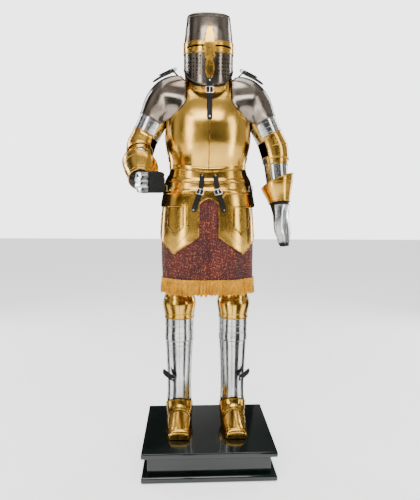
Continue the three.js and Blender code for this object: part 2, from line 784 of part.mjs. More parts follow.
for (const arm of arms) {
  const { name, side, wrist, elbowReach } = arm;
  const start = armStart.clone().addScaledVector(armAxis, -sleeveRise);
  const forearm = wrist.clone().sub(elbow);
  const past = wrist.clone().addScaledVector(forearm.clone().normalize(), 30);
  const path = roundedPath([start, elbow, past], elbowReach);
  const outward = new THREE.Vector3(Math.sin(armSwing), 0, Math.cos(armSwing));
  const frameAt = carriedFrames(path, outward);
  const total = path.getLength();
  const bend = sleeveRise + upperArm;
  const wristS = total - 30;
  const armTable = [
    { s: 0, out: 63.5, low: 56, depth: 63.5 },
    { s: 40, out: 63.5, low: 56, depth: 63.5 },
    { s: 90, out: 60, low: 54, depth: 60 },
    { s: bend - 20, out: 58, low: 52, depth: 58 },
    { s: bend + 30, out: 57, low: 48, depth: 56 },
    { s: bend + 90, out: 51, low: 46, depth: 51 },
    { s: wristS, out: 44, low: 42, depth: 47 },
    { s: total, out: 43, low: 41, depth: 46 },
  ];
  const armAt = limb(frameAt, (s) => readTable(armTable, 's', s));
  const tube = (from, to, rows) => wall({
    surface: armAt,
    side,
    closed: true,
    columns: armColumns,
    rows,
    place: (i, j) => [ring(armColumns, 0, 360)(i), mix(from, to, j / rows)],
  });

  addPiece(`pauldron_${name}`, pauldron(side), 'darkSteel');
  addPiece(`rerebrace_${name}`, tube(0, bend - 44, 3), 'steel');

  // Couter: a cup round the elbow, open in the crook, its ends close on the tubes it covers
  const cupAngles = [-6, -5, -4, -3, -2, -1, 0, 1, 2, 3, 4, 5].map((count) => count * armStep);
  const cupFrom = bend - 58;
  const cupTo = bend + 58;
  addPiece(`couter_${name}`, wall({
    surface: armAt,
    side,
    columns: cupAngles.length - 1,
    rows: 5,
    place: (i, j) => [degrees(cupAngles[i]), mix(cupFrom, cupTo, [0, 0.15, 0.4, 0.6, 0.84, 1][j])],
    lift: (i, j) => layer + [0.3, 1, 5, 6, 4.4, 4.8][j],
  }), 'brass');
  addPiece(`couter_lame_${name}`, wall({
    surface: armAt,
    side,
    columns: cupAngles.length - 1,
    rows: 2,
    place: (i, j) => [degrees(cupAngles[i]), mix(cupTo - 14, cupTo + 26, j / 2)],
    lift: (i, j) => layer + [2.4, 1.2, 0.4][j],
  }), 'brass');
  addPiece(`vambrace_${name}`, tube(bend + 44, wristS + 5, 4), 'steel');

  // Gauntlet cuff: close round the wrist and flared towards the elbow, longer on the outer side
  const cuffFlare = (share) => 30 * Math.pow(share, 1.3) - 7 * Math.pow(share, 5);
  const cuffColumns = armColumns;
  addPiece(`gauntlet_cuff_${name}`, wall({
    surface: armAt,
    side,
    closed: true,
    columns: cuffColumns,
    rows: 4,
    place: (i, j) => {
      const tilt = ring(cuffColumns, 0, 360)(i);
      const length = 96 + 26 * Math.cos(tilt);
      return [tilt, wristS + 6 - length * (1 - j / 4)];
    },
    lift: (i, j) => layer + cuffFlare(1 - j / 4),
  }), 'brass');
  arm.frameAt = frameAt;
  arm.surface = armAt;
  arm.handS = wristS - 4;
}

// Left hand hangs: a glove closed at the finger ends and a plate over the back of the hand
const handTable = [
  { v: 0, half: 44, deep: 40 },
  { v: 30, half: 50, deep: 36 },
  { v: 80, half: 50, deep: 25 },
  { v: 130, half: 44, deep: 18 },
  { v: 180, half: 33, deep: 13 },
  { v: 200, half: 25, deep: 10 },
];

function hangingHand(arm) {
  const from = arm.frameAt(arm.handS).centre;
  const to = new THREE.Vector3(340, -4, 954);
  const down = to.clone().sub(from);
  const length = down.length();
  down.normalize();
  const outward = new THREE.Vector3(0.86, -0.5, 0);
  outward.addScaledVector(down, -outward.dot(down)).normalize();
  const across = down.clone().cross(outward);
  return (tilt, v) => {
    const row = readTable(handTable, 'v', v);
    const r = sectionRadius(tilt, row.half, row.deep, 2.4);
    const hand = from.clone().addScaledVector(down, v * length / 200)
      .addScaledVector(outward, r * Math.cos(tilt))
      .addScaledVector(across, r * Math.sin(tilt));
    return arm.surface(tilt + degrees(armStep), arm.handS + v).lerp(hand, smooth(v, 10, 40));
  };
}

const leftArm = arms[1];
const leftHand = hangingHand(leftArm);
const handRows = [0, 9, 24, 60, 100, 140, 180, 198];
addPiece('glove_L', wall({
  surface: leftHand,
  closed: true,
  capped: true,
  columns: armColumns,
  rows: handRows.length - 1,
  thickness: leatherThickness,
  lift: (i, j) => -leatherThickness - (j < 2 ? gap : 0),
  place: (i, j) => [ring(armColumns, 0, 360)(i), handRows[j]],
}), 'leather');
addPiece('hand_plate_L', wall({
  surface: leftHand,
  columns: 8,
  rows: 4,
  place: (i, j) => [degrees((i - 4) * armStep), handRows[j + 2]],
  lift: () => gap,
}), 'steel');

// Right hand is closed round an empty grip: one flattened tube that curls about the grip's axis
const grip = { x: 224, y: -190, z: 1220, radius: 17 };
const palmDepth = 15;

function curledPath(arm) {
  const from = arm.frameAt(arm.handS).centre;
  const curl = grip.radius + palmDepth + 1;
  const points = [from, new THREE.Vector3(268, -165, 1224)];
  for (const turn of [-10, -50, -90, -130, -170, -205]) {
    points.push(new THREE.Vector3(grip.x + curl * Math.cos(degrees(turn)),
      grip.y + curl * Math.sin(degrees(turn)), grip.z));
  }
  return new THREE.CatmullRomCurve3(points, false, 'centripetal');
}

const fistTable = [
  { share: 0, half: 37, out: 30, low: 28 },
  { share: 0.16, half: 40, out: 24, low: 22 },
  { share: 0.34, half: 44, out: 17, low: 15 },
  { share: 0.6, half: 44, out: 14, low: 13.5 },
  { share: 0.9, half: 41, out: 13, low: 13 },
  { share: 1, half: 37, out: 11, low: 11 },
];

function closedHand(arm) {
  const path = curledPath(arm);
  const reach = path.getLength();
  const upward = new THREE.Vector3(0, 0, 1);
  return (tilt, share) => {
    const at = Math.min(Math.max(share, 0), 1);
    const tangent = path.getTangentAt(at);
    const outward = upward.clone().cross(tangent).normalize();
    const across = tangent.clone().cross(outward);
    const row = readTable(fistTable, 'share', at);
    const fingers = smooth(at, 0.3, 0.45);
    const ripple = 1 + 0.09 * fingers * Math.cos(8 * Math.PI * Math.sin(tilt) * 0.5);
    const r = sectionRadius(tilt, row.half, Math.cos(tilt) > 0 ? row.out : row.low, 3);
    const deep = Math.cos(tilt) > 0 ? ripple : 1;
    const hand = path.getPointAt(at)
      .addScaledVector(outward, r * Math.cos(tilt) * deep)
      .addScaledVector(across, r * Math.sin(tilt))
      .addScaledVector(tangent, share - at);
    return arm.surface(tilt, arm.handS + share * reach).lerp(hand, smooth(share, 0.06, 0.2));
  };
}

const rightArm = arms[0];
const rightHand = closedHand(rightArm);
const fistRows = [0, 0.05, 0.12, 0.2, 0.3, 0.4, 0.5, 0.6, 0.7, 0.8, 0.9, 0.985];
const fistStep = { around: 0.02, along: 0.006 };
addPiece('glove_R', wall({
  surface: rightHand,
  side: -1,
  closed: true,
  capped: true,
  columns: armColumns,
  rows: fistRows.length - 1,
  thickness: leatherThickness,
  lift: (i, j) => -leatherThickness - (j < 2 ? gap : 0),
  step: fistStep,
  place: (i, j) => [ring(armColumns, 0, 360)(i), fistRows[j]],
}), 'leather');
addPiece('hand_plate_R', wall({
  surface: rightHand,
  side: -1,
  columns: 6,
  rows: 4,
  step: fistStep,
  place: (i, j) => [degrees((i - 3) * armStep), fistRows[j + 3]],
  lift: () => gap,
}), 'steel');

// Shoulder straps: from the neck up to a buckle over the shoulder and out to a free end
for (const [name, side] of [['R', -1], ['L', 1]]) {
  const points = [[112, 1690], [127, 1690.1], [138, 1702], [152, 1714], [176, 1704], [210, 1688],
    [241, 1669]].map(([x, z]) => new THREE.Vector3(x, torsoY, z));
  const strap = ribbon(points.reverse(), alongY, 24, leatherThickness, side);
  addPiece(`shoulder_strap_${name}`, strap, 'leather');
}

// Straps from the upper lame down to the tassets' inner corners
for (const [name, side] of [['R', -1], ['L', 1]]) {
  const outerX = [29, 30, 33, 38, 44, 50, 56];
  const heights = [1252, 1236, 1212, 1190, 1168, 1146, 1122];
  const points = outerX.map((x, index) => {
    const z = heights[index];
    const angle = Math.asin(x / 150);
    const off = z > 1130 ? layer + plateThickness + 2.2 : plateThickness + 1.4;
    const r = trunkRadius(angle, z) + off;
    return new THREE.Vector3(r * Math.sin(angle), torsoY - r * Math.cos(angle), z);
  });
  const strap = ribbon(points.reverse(), new THREE.Vector3(0.97, 0.2, 0.12).normalize(), 17,
    leatherThickness, side);
  addPiece(`tasset_strap_${name}`, strap, 'leather');
}

// Side straps join the front and back plates at the waist
for (const [name, side] of [['R', -1], ['L', 1]]) {
  addPiece(`side_strap_${name}`, wall({
    surface: trunk,
    side,
    columns: 6,
    rows: 1,
    thickness: leatherThickness,
    lift: () => plateThickness + gap + 0.2,
    place: (i, j) => [ring(6, 78, 112)(i), [1322, 1344][j]],
  }), 'leather');
}

// Leg: half-width, reach to the front and back and shin crease by height, round an upright axis
const legTable = [
  { z: 130, x: legX, y: legY, half: 43, front: 50, back: 84, crease: 0 },
  { z: 165, x: legX, y: legY, half: 45, front: 50, back: 82, crease: 0 },
  { z: 195, x: legX, y: legY, half: 50, front: 52, back: 68, crease: 0 },
  { z: 228, x: legX, y: legY, half: 52, front: 54, back: 58, crease: 2 },
  { z: 289, x: legX, y: legY, half: 51, front: 52, back: 57, crease: 4 },
  { z: 360, x: legX, y: legY, half: 52, front: 54, back: 64, crease: 4 },
  { z: 430, x: legX, y: legY, half: 54.5, front: 56, back: 72, crease: 4 },
  { z: 490, x: legX, y: legY, half: 57, front: 58, back: 74, crease: 4 },
  { z: 545, x: legX, y: legY, half: 60, front: 60, back: 68, crease: 3 },
  { z: 600, x: legX, y: legY, half: 61, front: 64, back: 60, crease: 3 },
  { z: 690, x: legX, y: legY, half: 62, front: 72, back: 60, crease: 3 },
  { z: 760, x: legX, y: legY, half: 63, front: 70, back: 64, crease: 0 },
  { z: 850, x: 120, y: 76, half: 68, front: 72, back: 66, crease: 0 },
  { z: 1000, x: 115, y: 68, half: 68, front: 72, back: 66, crease: 0 },
  { z: 1100, x: 112, y: 64, half: 69, front: 64, back: 58, crease: 0 },
  { z: 1190, x: 112, y: 62, half: 69.6, front: 52, back: 50, crease: 0 },
];

function leg(angle, z) {
  const row = readTable(legTable, 'z', z);
  const fromFront = Math.abs(Math.atan2(Math.sin(angle), Math.cos(angle)));
  const crease = row.crease * Math.max(0, 1 - fromFront / degrees(40));
  const reach = Math.cos(angle) > 0 ? row.front : row.back;
  const r = sectionRadius(angle, row.half, reach, 2.1) + crease;
  return new THREE.Vector3(row.x + r * Math.sin(angle), row.y - r * Math.cos(angle), z);
}

const shinAngles = mirrored([-104, -84, -62, -40, -20, 0]);
const calfAngles = mirrored([-96, -76, -50, -25, 0]);
const legRing = [...shinAngles, 130, 155, 180, 205, 230];

function legPlate(side, angles, heights, lifts, aboutBack = false) {
  return wall({
    surface: (angle, z) => leg(aboutBack ? Math.PI + angle : angle, z),
    side,
    columns: angles.length - 1,
    rows: heights.length - 1,
    place: (i, j) => [degrees(angles[i]), heights[j]],
    lift: (i, j) => lifts[j],
  });
}

// Foot: arches over the foot from toe to ankle, each from the sole's edge up to the instep
const footTable = [
  { s: -1, topY: -121.6, topZ: 134, sideY: -119, sideZ: 131, half: 42 },
  { s: 0, topY: -121, topZ: 160, sideY: -118, sideZ: 130.4, half: 43 },
  { s: 1, topY: -112, topZ: 174, sideY: -106, sideZ: 130.4, half: 46 },
  { s: 2, topY: -72, topZ: 188, sideY: -70, sideZ: 130.4, half: 50 },
  { s: 3, topY: -22, topZ: 208, sideY: -30, sideZ: 130.4, half: 52 },
  { s: 4, topY: -7, topZ: 217, sideY: 4, sideZ: 133, half: 53 },
  { s: 5, topY: 6, topZ: 227, sideY: 34, sideZ: 150, half: 54 },
  { s: 6, topY: 15, topZ: 238, sideY: 58, sideZ: 176, half: 55.5 },
  { s: 7, topY: 20, topZ: 252, sideY: 74, sideZ: 214, half: 56.5 },
];

function foot(tilt, s) {
  const row = readTable(footTable, 's', s);
  const power = mix(3.2, 2.2, smooth(s, 0, 5));
  const r = sectionRadius(tilt, 1, 1, power);
  const across = r * Math.sin(tilt);
  const rise = r * Math.cos(tilt);
  const crease = 3 * Math.max(0, 1 - Math.abs(tilt) / degrees(28)) * smooth(s, 0.8, 3);
  return new THREE.Vector3(legX + row.half * across, mix(row.sideY, row.topY, rise),
    mix(row.sideZ, row.topZ, rise) + crease);
}

const archTilts = mirrored([-90, -70, -52, -38, -18, 0]);
const footStep = { around: 0.02, along: 0.04 };

function footPlate(side, stations, lifts) {
  return wall({
    surface: foot,
    side,
    step: footStep,
    columns: archTilts.length - 1,
    rows: stations.length - 1,
    place: (i, j) => [degrees(archTilts[i]), stations[j]],
    lift: (i, j) => lifts[j],
  });
}

for (const [name, side] of [['R', -1], ['L', 1]]) {
  addPiece(`sabaton_toe_${name}`, footPlate(side, [-1, 0, 1, 2, 2.8, 3.2],
    [0, 0, 0, 0, layer + 0.3, layer + 0.3]), 'brass');
  addPiece(`sabaton_lame_low_${name}`, footPlate(side, [2.8, 3.2, 3.9, 4.2],
    [0, 0, layer, layer]), 'brass');
  addPiece(`sabaton_lame_high_${name}`, footPlate(side, [3.9, 4.2, 5, 5.3],
    [0, 0, layer, layer]), 'brass');
  addPiece(`sabaton_ankle_${name}`, footPlate(side, [5, 5.3, 6, 7], [0, 0, layer, layer + 1]),
    'brass');
  addPiece(`heel_plate_${name}`, legPlate(side, calfAngles, [130.4, 165, 195, 218, 234],
    [0, 0, 0, layer + 0.2, layer], true), 'brass');
  addPiece(`greave_front_${name}`, legPlate(side, shinAngles,
    [240, 289, 360, 430, 490, 520, 536], [layer, layer, layer, layer, layer, layer, layer]),
  'steel');
  addPiece(`greave_back_${name}`, legPlate(side, calfAngles,
    [218, 234, 289, 360, 430, 490, 520, 536], [0, 0, 0, 0, 0, 0, 0, 0], true), 'leather');
  addPiece(`knee_lame_${name}`, legPlate(side, shinAngles, [520, 536, 556, 600, 625, 640],
    [2 * layer, 2 * layer, layer, layer, layer, layer]), 'steel');
  addPiece(`poleyn_${name}`, legPlate(side, shinAngles, [625, 640, 668, 696, 722, 747],
    [2 * layer, 2 * layer, 9, 11, layer + 1, layer]), 'brass');
  addPiece(`cuisse_${name}`, wall({
    surface: leg,
    side,
    closed: true,
    columns: legRing.length,
    rows: 5,
    place: (i, j) => [degrees(legRing[i]), [722, 747, 850, 1000, 1100, 1190][j]],
  }), 'steel');
}

export default part;
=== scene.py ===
import bpy
import bmesh
import math
import random
from mathutils import Matrix, Vector, noise
from mathutils.bvhtree import BVHTree
from mathutils.kdtree import KDTree


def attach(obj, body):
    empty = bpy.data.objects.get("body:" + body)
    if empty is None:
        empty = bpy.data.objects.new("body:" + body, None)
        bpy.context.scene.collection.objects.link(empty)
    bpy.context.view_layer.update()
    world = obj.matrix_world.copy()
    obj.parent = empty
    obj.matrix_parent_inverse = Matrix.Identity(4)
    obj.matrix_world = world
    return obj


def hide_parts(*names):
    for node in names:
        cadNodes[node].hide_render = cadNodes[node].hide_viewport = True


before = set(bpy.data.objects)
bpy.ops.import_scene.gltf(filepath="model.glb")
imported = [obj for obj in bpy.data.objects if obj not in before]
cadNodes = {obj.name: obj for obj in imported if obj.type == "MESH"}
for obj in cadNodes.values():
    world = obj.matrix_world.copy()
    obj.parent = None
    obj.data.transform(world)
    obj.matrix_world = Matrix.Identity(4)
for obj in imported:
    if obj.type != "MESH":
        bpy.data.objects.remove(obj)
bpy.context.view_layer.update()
print("frame loaded:", len(cadNodes), "nodes")

mm = 0.001
suitShift = -4           # millimetres from the plinth's middle to the suit's
suitX = suitShift * mm
torsoY = 60 * mm         # middle of the trunk, front to back
legX = 124 * mm          # from the suit's middle to a leg's
sides = (("R", -1), ("L", 1))
acrossX, upward, frontward = Vector((1, 0, 0)), Vector((0, 0, 1)), Vector((0, -1, 0))
plateWall = 1.6          # thickness of a plate, in millimetres


def newObject(name, data):
    obj = bpy.data.objects.new(name, data)
    bpy.context.scene.collection.objects.link(obj)
    return obj


def clamped(value):
    return min(max(value, 0), 1)


# An input takes a number, a colour or another node's output
def fill(tree, node, values):
    for name, value in values.items():
        if isinstance(value, bpy.types.NodeSocket):
            tree.links.new(value, node.inputs[name])
        else:
            node.inputs[name].default_value = value
    return node


def addNode(tree, kind, values=None, **settings):
    node = tree.nodes.new(kind)
    for name, value in settings.items():
        setattr(node, name, value)
    return fill(tree, node, values or {})


def mathNode(tree, operation, first, second):
    return addNode(tree, "ShaderNodeMath", {0: first, 1: second}, operation=operation).outputs[0]


def product(tree, first, second):
    return mathNode(tree, "MULTIPLY", first, second)


def total(tree, first, second):
    return mathNode(tree, "ADD", first, second)


camera = {  # place in millimetres, angles in radians, lens in millimetres
    "place": (-99.3822, -1989.81242, 1127.04367), "yaw": 0.05302, "pitch": 0.0944,
    "roll": 0.00771, "lens": 32.76, "sensor": 36, "reach": 100,
}


def makeCamera():
    data = bpy.data.cameras.new("photoCamera")
    data.lens = camera["lens"]
    data.sensor_width = camera["sensor"]
    data.clip_end = camera["reach"]
    obj = newObject("photoCamera", data)
    yaw, pitch, roll = camera["yaw"], camera["pitch"], camera["roll"]
    ahead = Vector((math.sin(yaw) * math.cos(pitch), math.cos(yaw) * math.cos(pitch), -math.sin(pitch)))
    right = Vector((math.cos(yaw), -math.sin(yaw), 0))
    up = right.cross(ahead)
    turnedRight = right * math.cos(roll) + up * math.sin(roll)
    turnedUp = up * math.cos(roll) - right * math.sin(roll)
    turn = Matrix((turnedRight, turnedUp, -ahead)).transposed().to_4x4()
    obj.matrix_world = Matrix.Translation(Vector(camera["place"]) * mm) @ turn
    bpy.context.scene.camera = obj


softboxes = {
    "aim": (0, 0, 1.05),
    "panels": [  # name, place, size, watts: large ones in front, one on top, two narrow ones behind
        ("frontLeft", (-2.3, -2.6, 2.0), (0.7, 3.6), 62),
        ("frontRight", (2.7, -1.9, 1.8), (0.6, 3.6), 42),
        ("above", (0, -2.2, 3.6), (3.2, 1.2), 85),
        ("top", (0, 0.4, 4.2), (2.6, 2.0), 60),
        ("backLeft", (-2.4, 1.9, 2.0), (0.5, 2.8), 45),
        ("backRight", (2.4, 1.9, 2.0), (0.5, 2.8), 45)],
}


def makeLights():
    for name, place, size, watts in softboxes["panels"]:
        data = bpy.data.lights.new(name, "AREA")
        data.shape = "RECTANGLE"
        data.size, data.size_y = size
        data.energy = watts
        obj = newObject(name, data)
        obj.location = place
        aim = Vector(softboxes["aim"]) - Vector(place)
        obj.rotation_euler = aim.to_track_quat("-Z", "Y").to_euler()


room = {
    # what the polished plates mirror: place round the walls, from 0 to 1, and brightness
    "walls": [(0.0, 0.06), (0.05, 0.5), (0.1, 0.03), (0.16, 0.02), (0.2, 0.85), (0.235, 0.85),
              (0.26, 0.05), (0.31, 0.03), (0.345, 0.3), (0.375, 0.04), (0.44, 0.02), (0.5, 0.55),
              (0.56, 0.02), (0.66, 0.03), (0.72, 0.7), (0.77, 0.7), (0.81, 0.02), (0.9, 0.12), (1.0, 0.06)],
    "tint": (1, 0.985, 0.95), "ceiling": (0.75, 0.75, 0.75, 1), "ceilingHeight": (0.5, 1.1),
    "brightness": 0.7, "background": 3.6,
}


def makeWorld():
    # White where the camera looks, and for reflections a room of pale and dark walls
    world = bpy.data.worlds.new("studio")
    bpy.context.scene.world = world
    world.use_nodes = True
    tree = world.node_tree
    tree.nodes.clear()
    split = addNode(tree, "ShaderNodeSeparateXYZ",
                    {0: addNode(tree, "ShaderNodeTexCoord").outputs["Generated"]})
    turn = mathNode(tree, "ARCTAN2", split.outputs["X"], split.outputs["Y"])
    around = ranged(tree, turn, -math.pi, math.pi, 0, 1)
    walls = addNode(tree, "ShaderNodeValToRGB", {"Fac": around})
    ramp = walls.color_ramp
    while len(ramp.elements) < len(room["walls"]):
        ramp.elements.new(0.5)
    for element, (place, level) in zip(ramp.elements, room["walls"]):
        element.position = place
        element.color = (*[level * share for share in room["tint"]], 1)
    height = ranged(tree, split.outputs["Z"], *room["ceilingHeight"], 0, 1)
    blend = addNode(tree, "ShaderNodeMix", {"Factor": height, "A": walls.outputs["Color"],
                                            "B": room["ceiling"]}, data_type="RGBA")
    mirrored = addNode(tree, "ShaderNodeBackground",
                       {"Color": blend.outputs["Result"], "Strength": room["brightness"]})
    seen = addNode(tree, "ShaderNodeBackground", {"Color": (1, 1, 1, 1), "Strength": room["background"]})
    rays = addNode(tree, "ShaderNodeLightPath").outputs["Is Camera Ray"]
    mix = addNode(tree, "ShaderNodeMixShader", {"Fac": rays, 1: mirrored.outputs[0], 2: seen.outputs[0]})
    addNode(tree, "ShaderNodeOutputWorld", {"Surface": mix.outputs[0]})


def newMaterial(name):
    material = bpy.data.materials.new(name)
    material.use_nodes = True
    return material, material.node_tree, material.node_tree.nodes["Principled BSDF"]


def addStage(name, points, faces, material):
    mesh = bpy.data.meshes.new(name)
    mesh.from_pydata(points, [], faces)
    mesh.materials.append(material)
    obj = newObject(name, mesh)
    return obj


floor = {"reach": 14, "grey": 0.93, "glow": 1.3, "roughness": 0.7}


def makeFloor():
    material, tree, shader = newMaterial("paleFloor")
    fill(tree, shader, {"Base Color": (floor["grey"], floor["grey"], floor["grey"], 1),
                        "Emission Color": (1, 1, 1, 1), "Emission Strength": floor["glow"],
                        "Roughness": floor["roughness"]})
    reach = floor["reach"]
    addStage("floor", [(-reach, -reach, 0), (reach, -reach, 0), (reach, reach, 0), (-reach, reach, 0)],
             [(0, 1, 2, 3)], material)


boards = {
    # black boards round the plinth that only reflections see: from and to in degrees, 0 in front
    "spans": [(-78, -46), (-15, -8), (32, 64), (98, 128), (150, 166), (196, 226), (-128, -104)],
    "radius": 0.62, "from": 0.002, "height": 0.75, "steps": 4, "black": 0.01, "roughness": 0.9,
}


def makeBoards():
    material, tree, shader = newMaterial("blackBoard")
    fill(tree, shader, {"Base Color": (boards["black"], boards["black"], boards["black"], 1),
                        "Roughness": boards["roughness"]})
    points, faces = [], []
    for low, high in boards["spans"]:
        for k in range(boards["steps"]):
            left, right = [math.radians(low + (high - low) * (k + part) / boards["steps"]) for part in (0, 1)]
            faces.append(tuple(range(len(points), len(points) + 4)))
            for turn, z in ((left, boards["from"]), (right, boards["from"]),
                            (right, boards["height"]), (left, boards["height"])):
                points.append((boards["radius"] * math.sin(turn), -boards["radius"] * math.cos(turn), z))
    obj = addStage("blackBoards", points, faces, material)
    obj.visible_camera = obj.visible_shadow = obj.visible_diffuse = False


def noiseNode(tree, vector, scale, detail=3.0, rough=0.5):
    return addNode(tree, "ShaderNodeTexNoise", {"Vector": vector, "Scale": scale, "Detail": detail,
                                                "Roughness": rough}).outputs["Fac"]


def mapped(tree, vector, scale):
    return addNode(tree, "ShaderNodeMapping", {"Vector": vector, "Scale": scale}).outputs["Vector"]


def ranged(tree, value, low, high, toLow, toHigh, smoothly=False):
    values = {"Value": value, "From Min": low, "From Max": high, "To Min": toLow, "To Max": toHigh}
    kind = "SMOOTHSTEP" if smoothly else "LINEAR"
    return addNode(tree, "ShaderNodeMapRange", values, interpolation_type=kind).outputs["Result"]


def mixColours(tree, factor, first, second):
    first, second = [(*value, 1) if isinstance(value, tuple) else value for value in (first, second)]
    return addNode(tree, "ShaderNodeMix", {"Factor": factor, "A": first, "B": second},
                   data_type="RGBA").outputs["Result"]


def bumped(tree, shader, height, distance, strength=1.0, after=None):
    values = {"Height": height, "Distance": distance, "Strength": strength}
    if after is not None:
        values["Normal"] = after
    normal = addNode(tree, "ShaderNodeBump", values).outputs["Normal"]
    fill(tree, shader, {"Normal": normal})
    return normal


def objectPlace(tree):
    return addNode(tree, "ShaderNodeTexCoord").outputs["Object"]


def attributeValue(tree, name):
    return addNode(tree, "ShaderNodeAttribute", attribute_name=name).outputs["Fac"]


makeCamera()
makeLights()
makeWorld()
makeFloor()
makeBoards()
print("camera and stage made")


metals = {
    # bright tone, deep tone, tarnish, roughness, height of the hammered waves in metres
    "polishedBrass": ((0.8, 0.47, 0.085), (0.58, 0.31, 0.045), (0.14, 0.065, 0.015), 0.15, 0.0012),
    "polishedSteel": ((0.66, 0.67, 0.66), (0.42, 0.43, 0.42), (0.1, 0.09, 0.075), 0.13, 0.0011),
    "darkSteel": ((0.27, 0.23, 0.19), (0.14, 0.105, 0.075), (0.04, 0.028, 0.02), 0.15, 0.0012),
    "buckleSteel": ((0.84, 0.84, 0.82), (0.6, 0.6, 0.58), (0.2, 0.18, 0.16), 0.16, 0.0002),
    # dark lines: painted shadow along the lame seams, and lines in creases and grooves that are partly patina,
    # partly painted shade
    "shadeAndPatinaLines": ((0.1, 0.055, 0.018), (0.06, 0.03, 0.01), (0.03, 0.016, 0.008), 0.4, 0.0002),
}
metalWear = {
    "tarnishReach": 0.011,                          # metres in from a free edge
    "cloud": 7, "patches": 60, "specks": 210,       # scales of the noises
    "insideTone": (0.035, 0.03, 0.026), "insideRough": 0.3, "edgeRough": 0.1,
    "scratches": (30, 30, 520), "scratchDepth": 0.00006, "scratchRough": 0.09,
    "smear": 14, "smearRough": (-0.03, 0.09), "waves": 16,
}


def polishedMetal(name):
    # Polished by hand: soft waves, fine scratches, and tarnish that gathers at the edges
    bright, deep, tarnish, roughness, waviness = metals[name]
    wear = metalWear
    material, tree, shader = newMaterial(name)
    place = objectPlace(tree)
    cloud = noiseNode(tree, place, wear["cloud"], 4, 0.55)
    colour = mixColours(tree, ranged(tree, cloud, 0.35, 0.68, 0, 1, True), bright, deep)
    edge = ranged(tree, attributeValue(tree, "rimDistance"), 0.0, wear["tarnishReach"], 1, 0, True)
    patchy = ranged(tree, noiseNode(tree, place, wear["patches"], 5, 0.65), 0.38, 0.66, 0.1, 1, True)
    colour = mixColours(tree, product(tree, edge, patchy), colour, tarnish)
    speck = ranged(tree, noiseNode(tree, place, wear["specks"], 2, 0.7), 0.66, 0.8, 0, 0.5, True)
    colour = mixColours(tree, speck, colour, tarnish)
    # Inner faces of the plates turn near-black and duller: partly an unpolished inside, partly painted shade
    # inside the shells
    inside = attributeValue(tree, "inside")
    colour = mixColours(tree, inside, colour, wear["insideTone"])
    scratches = noiseNode(tree, mapped(tree, place, wear["scratches"]), 1.5, 3, 0.6)
    smear = noiseNode(tree, place, wear["smear"], 5, 0.6)
    smooth, dull = [roughness + change for change in wear["smearRough"]]
    rough = total(tree, ranged(tree, scratches, 0.3, 0.75, 0, wear["scratchRough"]),
                  ranged(tree, smear, 0.3, 0.75, smooth, dull))
    worn = total(tree, product(tree, edge, wear["edgeRough"]), product(tree, inside, wear["insideRough"]))
    fill(tree, shader, {"Base Color": colour, "Metallic": 1, "Roughness": total(tree, rough, worn)})
    waves = bumped(tree, shader, noiseNode(tree, place, wear["waves"], 1, 0.4), waviness)
    bumped(tree, shader, scratches, wear["scratchDepth"], 0.7, waves)
    return material


leathers = {"blackLeather": (900, 0.42), "gloveLeather": (620, 0.55)}   # grain and roughness


def blackLeather(name):
    grain, roughness = leathers[name]
    material, tree, shader = newMaterial(name)
    place = objectPlace(tree)
    cloud = noiseNode(tree, place, 22, 5, 0.6)
    colour = mixColours(tree, ranged(tree, cloud, 0.35, 0.7, 0, 1),
                        (0.0015, 0.0015, 0.0015), (0.005, 0.0045, 0.004))
    scuff = ranged(tree, noiseNode(tree, place, 90, 6, 0.75), 0.6, 0.78, 0, 0.6, True)
    fill(tree, shader, {"Base Color": mixColours(tree, scuff, colour, (0.015, 0.013, 0.011)),
                        "Roughness": ranged(tree, cloud, 0.3, 0.7, roughness - 0.08, roughness + 0.12),
                        "Specular IOR Level": 0.22})
    cells = addNode(tree, "ShaderNodeTexVoronoi", {"Vector": place, "Scale": grain},
                    feature="DISTANCE_TO_EDGE")
    pores = ranged(tree, cells.outputs["Distance"], 0, 0.25, 0, 1, True)
    creases = bumped(tree, shader, noiseNode(tree, place, 45, 4, 0.6), 0.0006, 0.6)
    bumped(tree, shader, pores, 0.00025, 0.7, creases)
    return material


brocade = {"scrolls": 34, "scatter": 0.85, "warp": 26, "push": 0.022, "spin": 16, "leafSpin": 9,
           "leaves": 5, "leafShare": 0.45, "weave": 420, "raised": 0.0008,
           "red": ((0.022, 0.0006, 0.0008), (0.075, 0.0016, 0.0018)),
           "gold": ((0.3, 0.03, 0.006), (0.48, 0.14, 0.018))}


